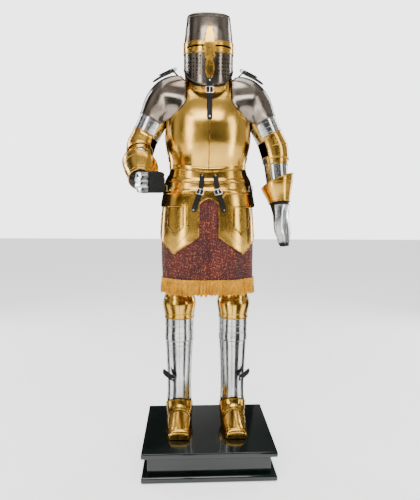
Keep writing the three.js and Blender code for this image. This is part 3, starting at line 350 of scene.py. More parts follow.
def redBrocade(name):
    # Scrolls wind round points scattered over the cloth; the gold weft stands a little proud
    material, tree, shader = newMaterial(name)
    cloth = addNode(tree, "ShaderNodeUVMap", uv_map="cloth").outputs[0]
    warp = addNode(tree, "ShaderNodeTexNoise", {"Vector": cloth, "Scale": brocade["warp"], "Detail": 2})
    shift = (brocade["push"], brocade["push"], 0)
    pushed = addNode(tree, "ShaderNodeVectorMath", {0: warp.outputs["Color"], 1: shift, 2: cloth},
                     operation="MULTIPLY_ADD").outputs[0]
    cells = addNode(tree, "ShaderNodeTexVoronoi", voronoi_dimensions="2D")
    fill(tree, cells, {"Vector": pushed, "Scale": brocade["scrolls"], "Randomness": brocade["scatter"]})
    offset = addNode(tree, "ShaderNodeVectorMath", {0: pushed, 1: cells.outputs["Position"]},
                     operation="SUBTRACT")
    split = addNode(tree, "ShaderNodeSeparateXYZ", {0: offset.outputs[0]})
    turn = mathNode(tree, "ARCTAN2", split.outputs["Y"], split.outputs["X"])
    away = cells.outputs["Distance"]
    scroll = mathNode(tree, "SINE", total(tree, turn, product(tree, away, brocade["spin"])), 0)
    leaf = mathNode(tree, "SINE", total(tree, product(tree, turn, brocade["leaves"]),
                                        product(tree, away, brocade["leafSpin"])), 0)
    figure = total(tree, scroll, product(tree, leaf, brocade["leafShare"]))
    worn = ranged(tree, noiseNode(tree, cloth, 60, 4, 0.7), 0.4, 0.62, 0.05, 1, True)
    gold = product(tree, ranged(tree, figure, 0.35, 0.8, 0, 1, True), worn)
    weave = addNode(tree, "ShaderNodeTexWave", {"Vector": cloth, "Scale": brocade["weave"]},
                    wave_type="BANDS", bands_direction="DIAGONAL").outputs["Fac"]
    tone = noiseNode(tree, cloth, 9, 4, 0.6)
    red = mixColours(tree, ranged(tree, tone, 0.35, 0.65, 0, 1), *brocade["red"])
    warm = mixColours(tree, ranged(tree, tone, 0.3, 0.7, 0, 1), *brocade["gold"])
    thread = ranged(tree, weave, 0, 1, 0.7, 1)
    fill(tree, shader, {"Base Color": mixColours(tree, product(tree, gold, thread), red, warm),
                        "Roughness": ranged(tree, gold, 0, 1, 0.78, 0.42), "Sheen Weight": 0.04})
    raised = bumped(tree, shader, gold, brocade["raised"], 0.8)
    bumped(tree, shader, weave, 0.0003, 0.5, raised)
    return material


def goldThread(name):
    material, tree, shader = newMaterial(name)
    place = objectPlace(tree)
    tone = noiseNode(tree, place, 130, 3, 0.6)
    colour = mixColours(tree, ranged(tree, tone, 0.3, 0.7, 0, 1), (0.5, 0.2, 0.001), (0.95, 0.47, 0.008))
    shade = ranged(tree, noiseNode(tree, place, 24, 2, 0.5), 0.35, 0.65, 0.75, 0, True)
    colour = mixColours(tree, product(tree, shade, 0.6), colour, (0.28, 0.11, 0.008))
    fill(tree, shader, {"Base Color": colour, "Metallic": 0.3, "Roughness": 0.42})
    twist = addNode(tree, "ShaderNodeTexWave", {"Vector": place, "Scale": 260}, bands_direction="DIAGONAL")
    bumped(tree, shader, twist.outputs["Fac"], 0.0005, 0.7)
    return material


def blackPaint(name):
    material, tree, shader = newMaterial(name)
    place = objectPlace(tree)
    tone = noiseNode(tree, place, 5, 4, 0.6)
    colour = mixColours(tree, ranged(tree, tone, 0.35, 0.7, 0, 1), (0.0015, 0.004, 0.0032),
                        (0.004, 0.009, 0.007))
    dust = ranged(tree, noiseNode(tree, place, 260, 3, 0.8), 0.66, 0.8, 0, 0.35, True)
    smear = noiseNode(tree, place, 11, 5, 0.65)
    fill(tree, shader, {"Base Color": mixColours(tree, dust, colour, (0.03, 0.034, 0.03)),
                        "Roughness": ranged(tree, smear, 0.3, 0.72, 0.1, 0.26),
                        "Specular IOR Level": 0.4, "Coat Weight": 0.35, "Coat Roughness": 0.08})
    bumped(tree, shader, noiseNode(tree, mapped(tree, place, (6, 90, 90)), 1.2, 3, 0.6), 0.00015, 0.4)
    return material


looks = {
    "brass": polishedMetal("polishedBrass"), "steel": polishedMetal("polishedSteel"),
    "dark_steel": polishedMetal("darkSteel"), "silver": polishedMetal("buckleSteel"),
    "shade_and_patina": polishedMetal("shadeAndPatinaLines"), "leather": blackLeather("blackLeather"),
    "glove": blackLeather("gloveLeather"), "brocade": redBrocade("redBrocade"),
    "bullion": goldThread("bullionThread"), "plinth_paint": blackPaint("glossBlackPaint"),
}
print("materials made")


def evaluatedMesh(obj):
    graph = bpy.context.evaluated_depsgraph_get()
    return bpy.data.meshes.new_from_object(obj.evaluated_get(graph))


def finishedMesh(obj, *others):
    # The mesh with its modifiers applied; the objects themselves go
    mesh = evaluatedMesh(obj)
    for item in (*others, obj):
        bpy.data.objects.remove(item)
    return mesh


def finerObject(mesh, level):
    obj = newObject("finer", mesh)
    finer = obj.modifiers.new("finer", "SUBSURF")
    finer.levels = finer.render_levels = level
    return obj, finer


def workOn(mesh):
    work = bmesh.new()
    work.from_mesh(mesh)
    return work


def store(work, mesh):
    work.to_mesh(mesh)
    work.free()
    return mesh


def mergedNode(name):
    # A copy of a node's loose triangles, joined at their corners
    work = workOn(cadNodes[name].data)
    bmesh.ops.remove_doubles(work, verts=work.verts, dist=2e-5)
    return work


def joinTriangles(work):
    bmesh.ops.join_triangles(work, faces=work.faces[:], angle_face_threshold=math.radians(50),
                             angle_shape_threshold=math.radians(70))


def sheetTree(mesh):
    return BVHTree.FromPolygons([vert.co.copy() for vert in mesh.vertices],
                                [tuple(polygon.vertices) for polygon in mesh.polygons])


def addPiece(name, mesh, look, replaced=(), smoothAngle=40):
    mesh.materials.clear()
    mesh.materials.append(looks[look])
    for polygon in mesh.polygons:
        polygon.material_index = 0
    mesh.shade_smooth()
    mesh.set_sharp_from_angle(angle=math.radians(smoothAngle))
    obj = newObject(name, mesh)
    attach(obj, "root")
    if replaced:
        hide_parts(*replaced)
    return obj


def joinedMesh(meshes):
    joined = bmesh.new()
    for name in ("rimDistance", "inside"):
        joined.verts.layers.float.new(name)
    for mesh in meshes:
        joined.from_mesh(mesh)
    return store(joined, bpy.data.meshes.new("joined"))


def startTree(name, sockets):
    tree = bpy.data.node_groups.new(name, "GeometryNodeTree")
    tree.interface.new_socket("Geometry", in_out="INPUT", socket_type="NodeSocketGeometry")
    for label, kind in sockets.items():
        tree.interface.new_socket(label, in_out="INPUT", socket_type="NodeSocket" + kind)
    tree.interface.new_socket("Geometry", in_out="OUTPUT", socket_type="NodeSocketGeometry")
    return tree, tree.nodes.new("NodeGroupInput")


def endTree(tree, start, geometry):
    # Plain, painted geometry comes out, because instances are lost later
    realized = addNode(tree, "GeometryNodeRealizeInstances", {"Geometry": geometry}).outputs[0]
    painted = addNode(tree, "GeometryNodeSetMaterial",
                      {"Geometry": realized, "Material": start.outputs["Material"]})
    addNode(tree, "NodeGroupOutput", {"Geometry": painted.outputs[0]})
    return tree


def runTree(obj, tree, values):
    modifier = obj.modifiers.new(tree.name, "NODES")
    modifier.node_group = tree
    for item in tree.interface.items_tree:
        if item.item_type == "SOCKET" and item.in_out == "INPUT" and item.name in values:
            modifier[item.identifier] = values[item.name]
    return finishedMesh(obj)


def namedAttribute(tree, name, kind):
    node = addNode(tree, "GeometryNodeInputNamedAttribute", {"Name": name}, data_type=kind)
    return node.outputs["Attribute"]


def edgeTubeTree():
    # A round bead along every edge that carries the attribute "rolled"
    tree, start = startTree("edgeTube", {"Radius": "Float", "Sides": "Int", "Material": "Material"})
    lines = addNode(tree, "GeometryNodeMeshToCurve", {"Mesh": start.outputs["Geometry"],
                                                      "Selection": namedAttribute(tree, "rolled", "BOOLEAN")})
    profile = addNode(tree, "GeometryNodeCurvePrimitiveCircle",
                      {"Radius": start.outputs["Radius"], "Resolution": start.outputs["Sides"]})
    sweep = addNode(tree, "GeometryNodeCurveToMesh",
                    {"Curve": lines.outputs["Curve"], "Profile Curve": profile.outputs["Curve"],
                     "Fill Caps": True})
    return endTree(tree, start, sweep.outputs["Mesh"])


def domeShape(tree):
    return addNode(tree, "GeometryNodeMeshUVSphere", {"Segments": 12, "Rings": 8, "Radius": 1})


def rodShape(tree):
    return addNode(tree, "GeometryNodeMeshCylinder", {"Vertices": 14, "Radius": 1, "Depth": 2})


def strandShape(tree):
    line = addNode(tree, "GeometryNodeCurvePrimitiveBezierSegment",
                   {"Resolution": 5, "Start": (0, 0, 0), "Start Handle": (0.05, 0, -0.35),
                    "End Handle": (-0.06, 0.03, -0.7), "End": (0, 0, -1)})
    profile = addNode(tree, "GeometryNodeCurvePrimitiveCircle", {"Resolution": 4, "Radius": 0.024})
    return addNode(tree, "GeometryNodeCurveToMesh", {"Curve": line.outputs["Curve"], "Fill Caps": True,
                                                     "Profile Curve": profile.outputs["Curve"]})


def scatterTree(name, shape):
    # One small shape on every point, its Z along "outward" and its X along "along", sized by "size"
    tree, start = startTree("scatter_" + name, {"Material": "Material"})
    outward, along, size = [namedAttribute(tree, label, "FLOAT_VECTOR")
                            for label in ("outward", "along", "size")]
    upright = addNode(tree, "FunctionNodeAlignRotationToVector", {"Vector": outward}, axis="Z")
    turned = addNode(tree, "FunctionNodeAlignRotationToVector",
                     {"Rotation": upright.outputs["Rotation"], "Vector": along}, axis="X", pivot_axis="Z")
    placed = addNode(tree, "GeometryNodeInstanceOnPoints",
                     {"Points": start.outputs["Geometry"], "Instance": shape(tree).outputs["Mesh"],
                      "Rotation": turned.outputs["Rotation"], "Scale": size})
    return endTree(tree, start, placed.outputs["Instances"])


trees = {"dome": scatterTree("dome", domeShape), "rod": scatterTree("rod", rodShape),
         "strand": scatterTree("strand", strandShape), "edgeTube": edgeTubeTree()}


def edgeTube(mesh, radius, look, sideCount=8):
    return runTree(newObject("tube", mesh), trees["edgeTube"],
                   {"Radius": radius, "Sides": sideCount, "Material": looks[look]})


def tubeMesh(lines, radius, look, sideCount=8):
    # lines: lists of points, each with True where the line closes on itself
    mesh = bpy.data.meshes.new("lines")
    points, edges = [], []
    for line, closed in lines:
        first = len(points)
        points += [tuple(point) for point in line]
        edges += [(first + i, first + i + 1) for i in range(len(line) - 1)]
        if closed:
            edges.append((first + len(line) - 1, first))
    mesh.from_pydata(points, edges, [])
    rolled = mesh.attributes.new("rolled", "BOOLEAN", "EDGE")
    rolled.data.foreach_set("value", [True] * len(edges))
    return edgeTube(mesh, radius, look, sideCount)


def scatterMesh(kind, spots, look):
    # spots: point, outward, along, size
    mesh = bpy.data.meshes.new("spots")
    mesh.from_pydata([tuple(spot[0]) for spot in spots], [], [])
    for index, name in enumerate(("outward", "along", "size")):
        values = mesh.attributes.new(name, "FLOAT_VECTOR", "POINT")
        values.data.foreach_set("vector", [number for spot in spots for number in spot[index + 1]])
    return runTree(newObject("spots", mesh), trees[kind], {"Material": looks[look]})


def domesAt(spots, radius, look, flatness=0.6):
    # spots: point and outward
    size = Vector((radius, radius, radius * flatness)) * mm
    return scatterMesh("dome", [(point, outward, upward, size) for point, outward in spots], look)


def faceIslands(mesh, angle):
    # Groups of faces that no edge sharper than the angle divides
    seen, islands = set(), []
    for seed in mesh.faces:
        if seed.index in seen:
            continue
        island, queue = [], [seed]
        seen.add(seed.index)
        while queue:
            face = queue.pop()
            island.append(face)
            for edge in face.edges:
                if len(edge.link_faces) != 2 or edge.calc_face_angle(0) > angle:
                    continue
                for other in edge.link_faces:
                    if other.index not in seen:
                        seen.add(other.index)
                        queue.append(other)
        islands.append(island)
    return islands


def outerSheet(name, creases):
    # The outer face of a plate's solid, as a sheet of four-sided faces; creases are ridges at these x
    sheet = mergedNode(name)
    bmesh.ops.recalc_face_normals(sheet, faces=sheet.faces)
    joinTriangles(sheet)
    sheet.faces.ensure_lookup_table()
    sheet.faces.index_update()
    middle = sum((vert.co for vert in sheet.verts), Vector()) / len(sheet.verts)
    islands = faceIslands(sheet, math.radians(62))
    islands.sort(key=lambda island: -sum(face.calc_area() for face in island))

    def facing(island):
        return sum(face.calc_area() * face.normal.dot(face.calc_center_median() - middle)
                   for face in island)

    keep = {face.index for face in max(islands[:2], key=facing)}
    bmesh.ops.delete(sheet, geom=[face for face in sheet.faces if face.index not in keep], context="FACES")
    layer = sheet.edges.layers.float.new("crease_edge")
    for edge in sheet.edges:
        if not edge.is_boundary and all(any(abs(vert.co.x - x) < 0.7 * mm for x in creases)
                                        and vert.co.y < torsoY for vert in edge.verts):
            edge[layer] = 0.75
    return store(sheet, bpy.data.meshes.new(name))


def solidsTree():
    # Every solid of the frame, to tell which edges lie under another plate
    points, faces, owners = [], [], []
    for name, node in cadNodes.items():
        first = len(points)
        points += [vert.co.copy() for vert in node.data.vertices]
        for polygon in node.data.polygons:
            faces.append([first + index for index in polygon.vertices])
            owners.append(name)
    return BVHTree.FromPolygons(points, faces), owners


solidTree, solidOwners = solidsTree()
sheetTrees, seamSheets = {}, {}


def markCorners(mesh, sharpest=27):
    # A corner of a free edge, in degrees, stays a corner when the sheet is smoothed
    work = workOn(mesh)
    layer = work.verts.layers.float.new("crease_vert")
    for vert in work.verts:
        rim = [edge.other_vert(vert).co - vert.co for edge in vert.link_edges if edge.is_boundary]
        if len(rim) == 2 and rim[0].angle(-rim[1], 0) > math.radians(sharpest):
            vert[layer] = 1
    store(work, mesh)


def smoothSheet(name, level, creases, shape=None):
    # The finer sheet passes through the points of the frame's own
    base = outerSheet(name, creases)
    markCorners(base)
    obj, finer = finerObject(base, level)
    finer.boundary_smooth = "PRESERVE_CORNERS"
    aims = [vert.co.copy() for vert in base.vertices]
    for turn in range(3):
        mesh = evaluatedMesh(obj)
        for vert, aim in zip(base.vertices, aims):
            miss = aim - mesh.vertices[vert.index].co
            if miss.length < 0.03:
                vert.co += miss * 0.85
        base.update()
        bpy.context.view_layer.update()
    mesh = finishedMesh(obj)
    if shape:
        mesh = shape(mesh)
    sheetTrees[name] = sheetTree(mesh)
    return mesh


def markEdges(mesh, name, farthest=0.05):
    # Marks the free edges that show, and gives each point its distance from a free edge
    work = workOn(mesh)
    distance = work.verts.layers.float.new("rimDistance")
    covered = {}
    rim = [vert for vert in work.verts if vert.is_boundary]
    for vert in rim:
        hit = solidTree.ray_cast(vert.co + vert.normal * 0.3 * mm, vert.normal, 9 * mm)
        covered[vert] = hit[0] is not None and solidOwners[hit[2]] != name
    near = KDTree(max(len(rim), 1))
    for index, vert in enumerate(rim):
        near.insert(vert.co, index)
    near.balance()
    for vert in work.verts:
        vert[distance] = min(near.find(vert.co)[2], farthest) if rim else farthest
    flags = [edge.is_boundary and not any(covered.get(vert, False) for vert in edge.verts)
             for edge in work.edges]
    store(work, mesh)
    mesh.attributes.new("rolled", "BOOLEAN", "EDGE").data.foreach_set("value", flags)


def thickened(mesh, thickness):
    obj = newObject("thick", mesh.copy())
    wall = obj.modifiers.new("wall", "SOLIDIFY")
    wall.thickness = thickness * mm
    wall.offset = -1
    result = finishedMesh(obj)
    outer = len(mesh.vertices)
    depth = result.attributes.new("inside", "FLOAT", "POINT")
    depth.data.foreach_set("value", [0.0] * outer + [1.0] * (len(result.vertices) - outer))
    return result


def darkSeam(name):
    # A painted shadow line along the edges of a lame: a thin dark tube
    line = edgeTube(seamSheets[name].copy(), 1.2 * mm, "shade_and_patina", 6)
    if len(line.polygons):
        addPiece(name + "_seam", line, "shade_and_patina")


def plate(name, look, rim, level=2, creases=(), extras=(), thickness=plateWall, shape=None):
    # A plate of the frame, smoothed, with a rolled edge where it shows and raised work laid on it
    mesh = smoothSheet(name, level, creases, shape)
    markEdges(mesh, name)
    seamSheets[name] = mesh
    parts = [thickened(mesh, thickness)]
    if rim:
        parts.append(edgeTube(mesh.copy(), rim * mm, look))
    for make in extras:
        parts += make(mesh)
    return addPiece(name + "_plate", joinedMesh(parts), look, [name])


def gridMesh(points, closed, cap=False):
    mesh = bmesh.new()
    rows = [[mesh.verts.new(point) for point in row] for row in points]
    width = len(rows[0])
    for low, high in zip(rows, rows[1:]):
        for k in range(width if closed else width - 1):
            after = (k + 1) % width
            mesh.faces.new((low[k], low[after], high[after], high[k]))
    if cap:
        inner = rows[-1]
        middle = sum((vert.co for vert in inner), Vector()) / width
        for share in (0.75, 0.5, 0.25):
            ring = [mesh.verts.new(middle + (vert.co - middle) * share) for vert in rows[-1]]
            for k in range(width):
                mesh.faces.new((inner[k], inner[(k + 1) % width], ring[(k + 1) % width], ring[k]))
            inner = ring
        centre = mesh.verts.new(middle)
        for k in range(width):
            mesh.faces.new((inner[k], inner[(k + 1) % width], centre))
    bmesh.ops.recalc_face_normals(mesh, faces=mesh.faces)
    return store(mesh, bpy.data.meshes.new("grid"))


def sectionLines(mesh, point, normal):
    # The lines in which a plane cuts a sheet
    work = workOn(mesh)
    cut = bmesh.ops.bisect_plane(work, geom=work.verts[:] + work.edges[:] + work.faces[:],
                                 plane_co=point, plane_no=normal)["geom_cut"]
    edges = {item for item in cut if isinstance(item, bmesh.types.BMEdge)}
    lines = []
    while edges:
        line = list(edges.pop().verts)
        for atEnd in (True, False):
            grown = True
            while grown:
                grown = False
                tip = line[-1] if atEnd else line[0]
                for other in tip.link_edges:
                    if other in edges:
                        edges.remove(other)
                        line.insert(len(line) if atEnd else 0, other.other_vert(tip))
                        grown = True
                        break
        closed = line[0] == line[-1]
        points = [vert.co + vert.normal * 0.1 * mm for vert in line]
        lines.append((points[:-1] if closed else points, closed))
    work.free()
    return lines


def beadAt(point, normal, radius, look):
    def make(mesh):
        return [tubeMesh(sectionLines(mesh, Vector(point) * mm, Vector(normal)), radius * mm, look, 6)]
    return make


def beadsUp(heights, radius, look):
    return [beadAt((0, 0, z), upward, radius, look) for z in heights]


def onFront(name, x, z, lift=0.0):
    # The point of a sheet that is seen at x, z from the front, in millimetres, and its outward normal
    hit = sheetTrees[name].ray_cast(Vector((x * mm, -0.9, z * mm)), -frontward)
    if hit[0] is None:
        return None
    normal = hit[1] if hit[1].y < 0 else -hit[1]
    return hit[0] + normal * lift * mm, normal


def densePath(corners, closed, step=4.0):
    result = []
    for index in range(len(corners) if closed else len(corners) - 1):
        first, second = Vector(corners[index]), Vector(corners[(index + 1) % len(corners)])
        pieces = max(1, round((second - first).length / step))
        result += [first.lerp(second, k / pieces) for k in range(pieces)]
    return result if closed else result + [Vector(corners[-1])]


def raisedPath(name, corners, closed, radius, look, lift=0.1):
    # A bead laid on a sheet along corners given as x, z in millimetres
    found = [onFront(name, corner.x, corner.y, lift) for corner in densePath(corners, closed)]
    points = [spot[0] for spot in found if spot]
    return [tubeMesh([(points, closed)], radius * mm, look, 6)] if len(points) > 2 else []


def rivetsOn(name, places, radius=3):
    return lambda mesh: [domesAt([onFront(name, x, z) for x, z in places], radius, "brass")]


def curveThrough(points, steps=6):
    fine = []
    for index in range(len(points) - 1):
        before, here = points[max(index - 1, 0)], points[index]
        ahead, after = points[index + 1], points[min(index + 2, len(points) - 1)]
        for k in range(steps):
            t = k / steps
            fine.append(0.5 * (2 * here + (ahead - before) * t
                               + (2 * before - 5 * here + 4 * ahead - after) * t * t
                               + (3 * here - before - 3 * ahead + after) * t ** 3))
    return fine + [points[-1]]


strapShape = {"across": (-1, -0.82, 0, 0.82, 1), "tip": (0.25, 0.6, 0.86, 0.97)}


def bentStrip(name, points, across, width, thickness, replaced=(), pointed=True):
    # A leather strap along points, given in metres; its face looks away from the body
    fine = curveThrough(points)
    mesh = bmesh.new()
    rows = []
    last = len(fine) - 1
    for index, point in enumerate(fine):
        tangent = (fine[min(index + 1, last)] - fine[max(index - 1, 0)]).normalized()
        normal = across.cross(tangent).normalized()
        half = 0.5 * width * mm
        if pointed and last - index < len(strapShape["tip"]):
            half *= strapShape["tip"][last - index]
        rows.append([[mesh.verts.new(point + across * share * half + normal * level * thickness * mm)
                      for share in strapShape["across"]] for level in (0, 1)])
    spans = len(strapShape["across"]) - 1
    for low, high in zip(rows, rows[1:]):
        for k in range(spans):
            mesh.faces.new((low[1][k], low[1][k + 1], high[1][k + 1], high[1][k]))
            mesh.faces.new((low[0][k + 1], low[0][k], high[0][k], high[0][k + 1]))
        for k in (0, spans):
            mesh.faces.new((low[0][k], low[1][k], high[1][k], high[0][k]))
    for lower, upper in (rows[0], rows[-1]):
        for k in range(spans):
            mesh.faces.new((lower[k], lower[k + 1], upper[k + 1], upper[k]))
    bmesh.ops.recalc_face_normals(mesh, faces=mesh.faces)
    return addPiece(name, store(mesh, bpy.data.meshes.new(name)), "leather", replaced, 35)


def addBuckle(name, centre, normal, up, width, height, radius, lift):
    # A frame with rounded corners and its tongue
    right = up.cross(normal).normalized()
    centre = centre + normal * lift * mm
    corner = 0.18 * min(width, height)
    rounded = []
    for sx, sz, first in ((1, 1, 0), (-1, 1, 90), (-1, -1, 180), (1, -1, 270)):
        for k in range(4):
            turn = math.radians(first + 30 * k)
            rounded.append(centre + right * (sx * (width / 2 - corner) + corner * math.cos(turn)) * mm
                           + up * (sz * (height / 2 - corner) + corner * math.sin(turn)) * mm)
    tongue = [centre - up * 0.5 * height * mm, centre + up * 0.56 * height * mm]
    return addPiece(name, tubeMesh([(rounded, True), (tongue, False)], radius * mm, "silver"), "silver")


print("tools ready")


helm = {
    "levels": [  # height, half-width, reach to the front and to the back
        (1620, 105, 121, 116), (1716, 105, 121, 116), (1800, 104.5, 119, 115), (1860, 98, 108, 106),
        (1908, 92, 92, 99), (1917, 91, 88, 97.5), (1921, 89, 86, 95.5), (1923, 85, 82, 91.5)],
    "lean": 0.19, "leanFrom": 1690, "leanOver": 70, "leanAbout": -60, "power": 2.15, "columns": 120,
    "rim": {"height": 1714, "front": 87, "frontPower": 1.4, "back": 34, "rows": 5, "top": 1722},
    "rowsUp": [*range(1730, 1904, 14), 1908, 1913, 1917, 1919.5, 1921, 1922, 1923],
    "seam": 1909,
    "slit": {"inner": (22, 1785), "outer": (94, 1792), "height": 7, "depth": 70},
    "holes": {"rows": 6, "columns": 6, "radius": 3.1, "first": 19, "apart": 7.4, "top": 1746,
              "drop": 14.5, "slant": 5.5, "stagger": 7, "clear": 13},
    "band": {"rows": (1759, 1770, 1782, 1794, 1806), "lift": 3.6, "rivets": (1766, 1799), "rivet": 2.6},
    "strip": {
        "lift": 5.6, "arc": 118, "step": 4,
        # height and half-width: a long point above, a lobed cross under the band, a short point below
        "outline": [(1643, 0.6), (1652, 6), (1662, 11), (1676, 15), (1692, 17), (1706, 16.5), (1718, 14.5),
                    (1727, 12.5), (1732, 13), (1737, 17), (1743, 19.5), (1752, 20), (1759, 20), (1806, 20.4),
                    (1820, 20.4), (1834, 19.4), (1846, 17), (1856, 13), (1866, 8), (1873, 4), (1877, 0.6)],
        "frets": [(-12, 1746, 2.8), (12, 1746, 2.8), (0, 1731, 1.8)],
        "pins": (1662, 1705, 1764, 1801, 1858),
    },
}


def helmPoint(turn, z, lift=0.0):
    levels = helm["levels"]
    z = min(max(z, levels[0][0]), levels[-1][0])
    for low, high in zip(levels, levels[1:]):
        if z <= high[0]:
            break
    share = (z - low[0]) / (high[0] - low[0])
    half, front, back = [a + (b - a) * share for a, b in zip(low[1:], high[1:])]
    power = helm["power"]
    across = abs(math.sin(turn)) / half
    along = abs(math.cos(turn)) / (back if math.cos(turn) < 0 else front)
    r = (across ** power + along ** power) ** (-1 / power) + lift
    y = torsoY / mm - r * math.cos(turn)
    share = clamped((z - helm["leanFrom"]) / helm["leanOver"])
    raised = z + helm["lean"] * share * share * (3 - 2 * share) * (y - helm["leanAbout"])
    return Vector((r * math.sin(turn) + suitShift, y, raised)) * mm


def helmRim(turn):
    rim = helm["rim"]
    front, back = max(0, math.cos(turn)), max(0, -math.cos(turn))
    return rim["height"] - rim["front"] * front ** rim["frontPower"] - rim["back"] * back * back


plinth = {"bevel": 2.2, "segments": 3}


def makePlinth():
    for name in ("plinth_bottom", "plinth_body", "plinth_top"):
        work = mergedNode(name)
        bmesh.ops.dissolve_limit(work, angle_limit=0.02, verts=work.verts, edges=work.edges)
        bmesh.ops.bevel(work, geom=work.edges[:], offset=plinth["bevel"] * mm, segments=plinth["segments"],
                        profile=0.5, affect="EDGES")
        addPiece(name + "_block", store(work, bpy.data.meshes.new(name)), "plinth_paint", [name], 50)


makePlinth()
print("plinth made")


chest = {
    "fold": [(-112, 1590), (-60, 1587), (-4, 1586), (52, 1587), (104, 1590)],
    "ridge": [(-4, 1279), (-4, 1400), (-4, 1500), (-4, 1578)],
    "rivets": {"breastplate": [(-152, 1320), (144, 1320), (-150, 1350), (142, 1350)],
               "fauld_upper": [(-30, 1262), (22, 1262), (-150, 1247), (142, 1247)],
               "fauld_lower": [(-160, 1210), (152, 1210)]},
    "rim": 2.4, "lameRim": 1.5, "rumpRim": 1.6,
}
neck = {"half": 112, "low": 1.575, "back": 0.05, "tuck": 0.003, "least": 0.004,
        "rows": (0, 0.2, 0.4, 0.6, 0.8, 1), "under": 6, "roll": 3.4, "rollUnder": 3, "rollStep": 0.006}


def makeNeckPlate():
    # The top of the breastplate rises to the rim of the helm; its edge is rolled in black leather
    sheet = outerSheet("breastplate", ())
    work = workOn(sheet)
    rim = sorted((vert.co.copy() for vert in work.verts
                  if vert.is_boundary and vert.co.z > neck["low"] and vert.co.y < neck["back"]
                  and abs(vert.co.x - suitX) < neck["half"] * mm), key=lambda point: point.x)
    work.free()
    turns = [math.atan2(point.x - suitX, torsoY - point.y) for point in rim]
    rows = []
    for share in neck["rows"]:
        row = []
        for point, turn in zip(rim, turns):
            high = helmPoint(turn, helmRim(turn) + neck["under"], -neck["under"])
            if high.z < point.z + neck["least"]:
                high = point + upward * neck["least"]
            row.append((point - upward * neck["tuck"]).lerp(high, share))
        rows.append(row)
    fine = finishedMesh(finerObject(gridMesh(rows, False), 2)[0])
    if sum(polygon.normal.y * polygon.area for polygon in fine.polygons) > 0:
        fine.flip_normals()
    addPiece("neckPlate", thickened(fine, plateWall), "brass")
    under = neck["rollUnder"]
    roll = densePath([helmPoint(turn, helmRim(turn) - under, -under) for turn in turns], False,
                     neck["rollStep"])
    addPiece("neckRoll", tubeMesh([(roll, False)], neck["roll"] * mm, "leather", 10), "leather")


def makeTrunk():
    rivets = {name: rivetsOn(name, places) for name, places in chest["rivets"].items()}
    plate("breastplate", "brass", chest["rim"], creases=[suitX],
          extras=[lambda mesh: raisedPath("breastplate", chest["ridge"], False, 1.7, "brass", -0.3),
                  rivets["breastplate"]])
    # Painted shade: dark lines along the fold below the neck and beside one side of the middle ridge
    beside = [(x - 2, z) for x, z in chest["ridge"]]
    lines = (raisedPath("breastplate", chest["fold"], False, 0.8, "shade_and_patina", -0.1)
             + raisedPath("breastplate", beside, False, 0.8, "shade_and_patina", 0.2))
    addPiece("breastLines", joinedMesh(lines), "shade_and_patina")
    plate("backplate", "brass", chest["rim"])
    for name in ("fauld_upper", "fauld_lower"):
        plate(name, "brass", chest["lameRim"], extras=[rivets[name]])
    plate("rump_plate", "brass", chest["rumpRim"])
    for name in ("fauld_upper", "fauld_lower"):
        darkSeam(name)


tassets = {
    # x from the suit's middle and z: the embossed panel, the dark lines round it and the rays
    "panel": [(108, 1128), (172, 1128), (173, 1040), (142, 1008), (108, 1040)],
    "outerPanel": [(105, 1131), (175, 1131), (176, 1038), (142, 1004), (105, 1038)],
    "innerPanel": [(112, 1124), (168, 1124), (169, 1042), (142, 1013), (112, 1042)],
    "rays": [[(84, 1136), (84, 1016)], [(94, 1136), (96, 1010)], [(96, 1006), (138, 962)],
             [(186, 1136), (186, 1000)], [(102, 1000), (70, 1022)]],
    "rim": 1.7,
}


def makeTassets():
    for tag, side in sides:
        name = "tasset_" + tag

        def laid(points, closed, radius, look, name=name, side=side):
            return raisedPath(name, [(side * x + suitShift, z) for x, z in points], closed, radius, look)

        def dressed(mesh, laid=laid):
            parts = laid(tassets["panel"], True, 1.8, "brass")
            for ray in tassets["rays"]:
                parts += laid(ray, False, 1.1, "brass")
            return parts

        plate(name, "brass", tassets["rim"], extras=[dressed])
        # Dark lines round the embossed panel: painted shade in the grooves, partly patina
        lines = (laid(tassets["innerPanel"], True, 1.0, "shade_and_patina")
                 + laid(tassets["outerPanel"], True, 0.9, "shade_and_patina"))
        addPiece("tassetLines_" + tag, joinedMesh(lines), "shade_and_patina")


makeTrunk()
makeNeckPlate()
makeTassets()
print("body plates made")


skirt = {"level": 3, "wrinkle": 4.2, "cloth": 1.6, "pleat": 5, "pleatHalf": 0.045, "foldsFrom": 0.81,
         "foldsOver": 0.32, "least": 0.12, "hem": 0.8062, "uvRadius": 0.19}
fringe = {"strands": 1500, "length": (58, 68), "clumps": 46, "seed": 7, "thick": 60,
          "backing": 54, "backingRows": 7, "backingColumns": 420, "backingWall": 0.8,
          "cords": [(0, 2.6), (4, 3.0), (8, 2.6)], "cordColumns": 360, "cord": 2.4}


trunkMiddle = Vector((suitX, torsoY, 0))


def turnOf(point):
    # The angle round the trunk, 0 in front
    return math.atan2(point.x - trunkMiddle.x, -(point.y - trunkMiddle.y))


def awayFrom(point):
    return Vector((point.x - trunkMiddle.x, point.y - trunkMiddle.y, 0)).normalized()


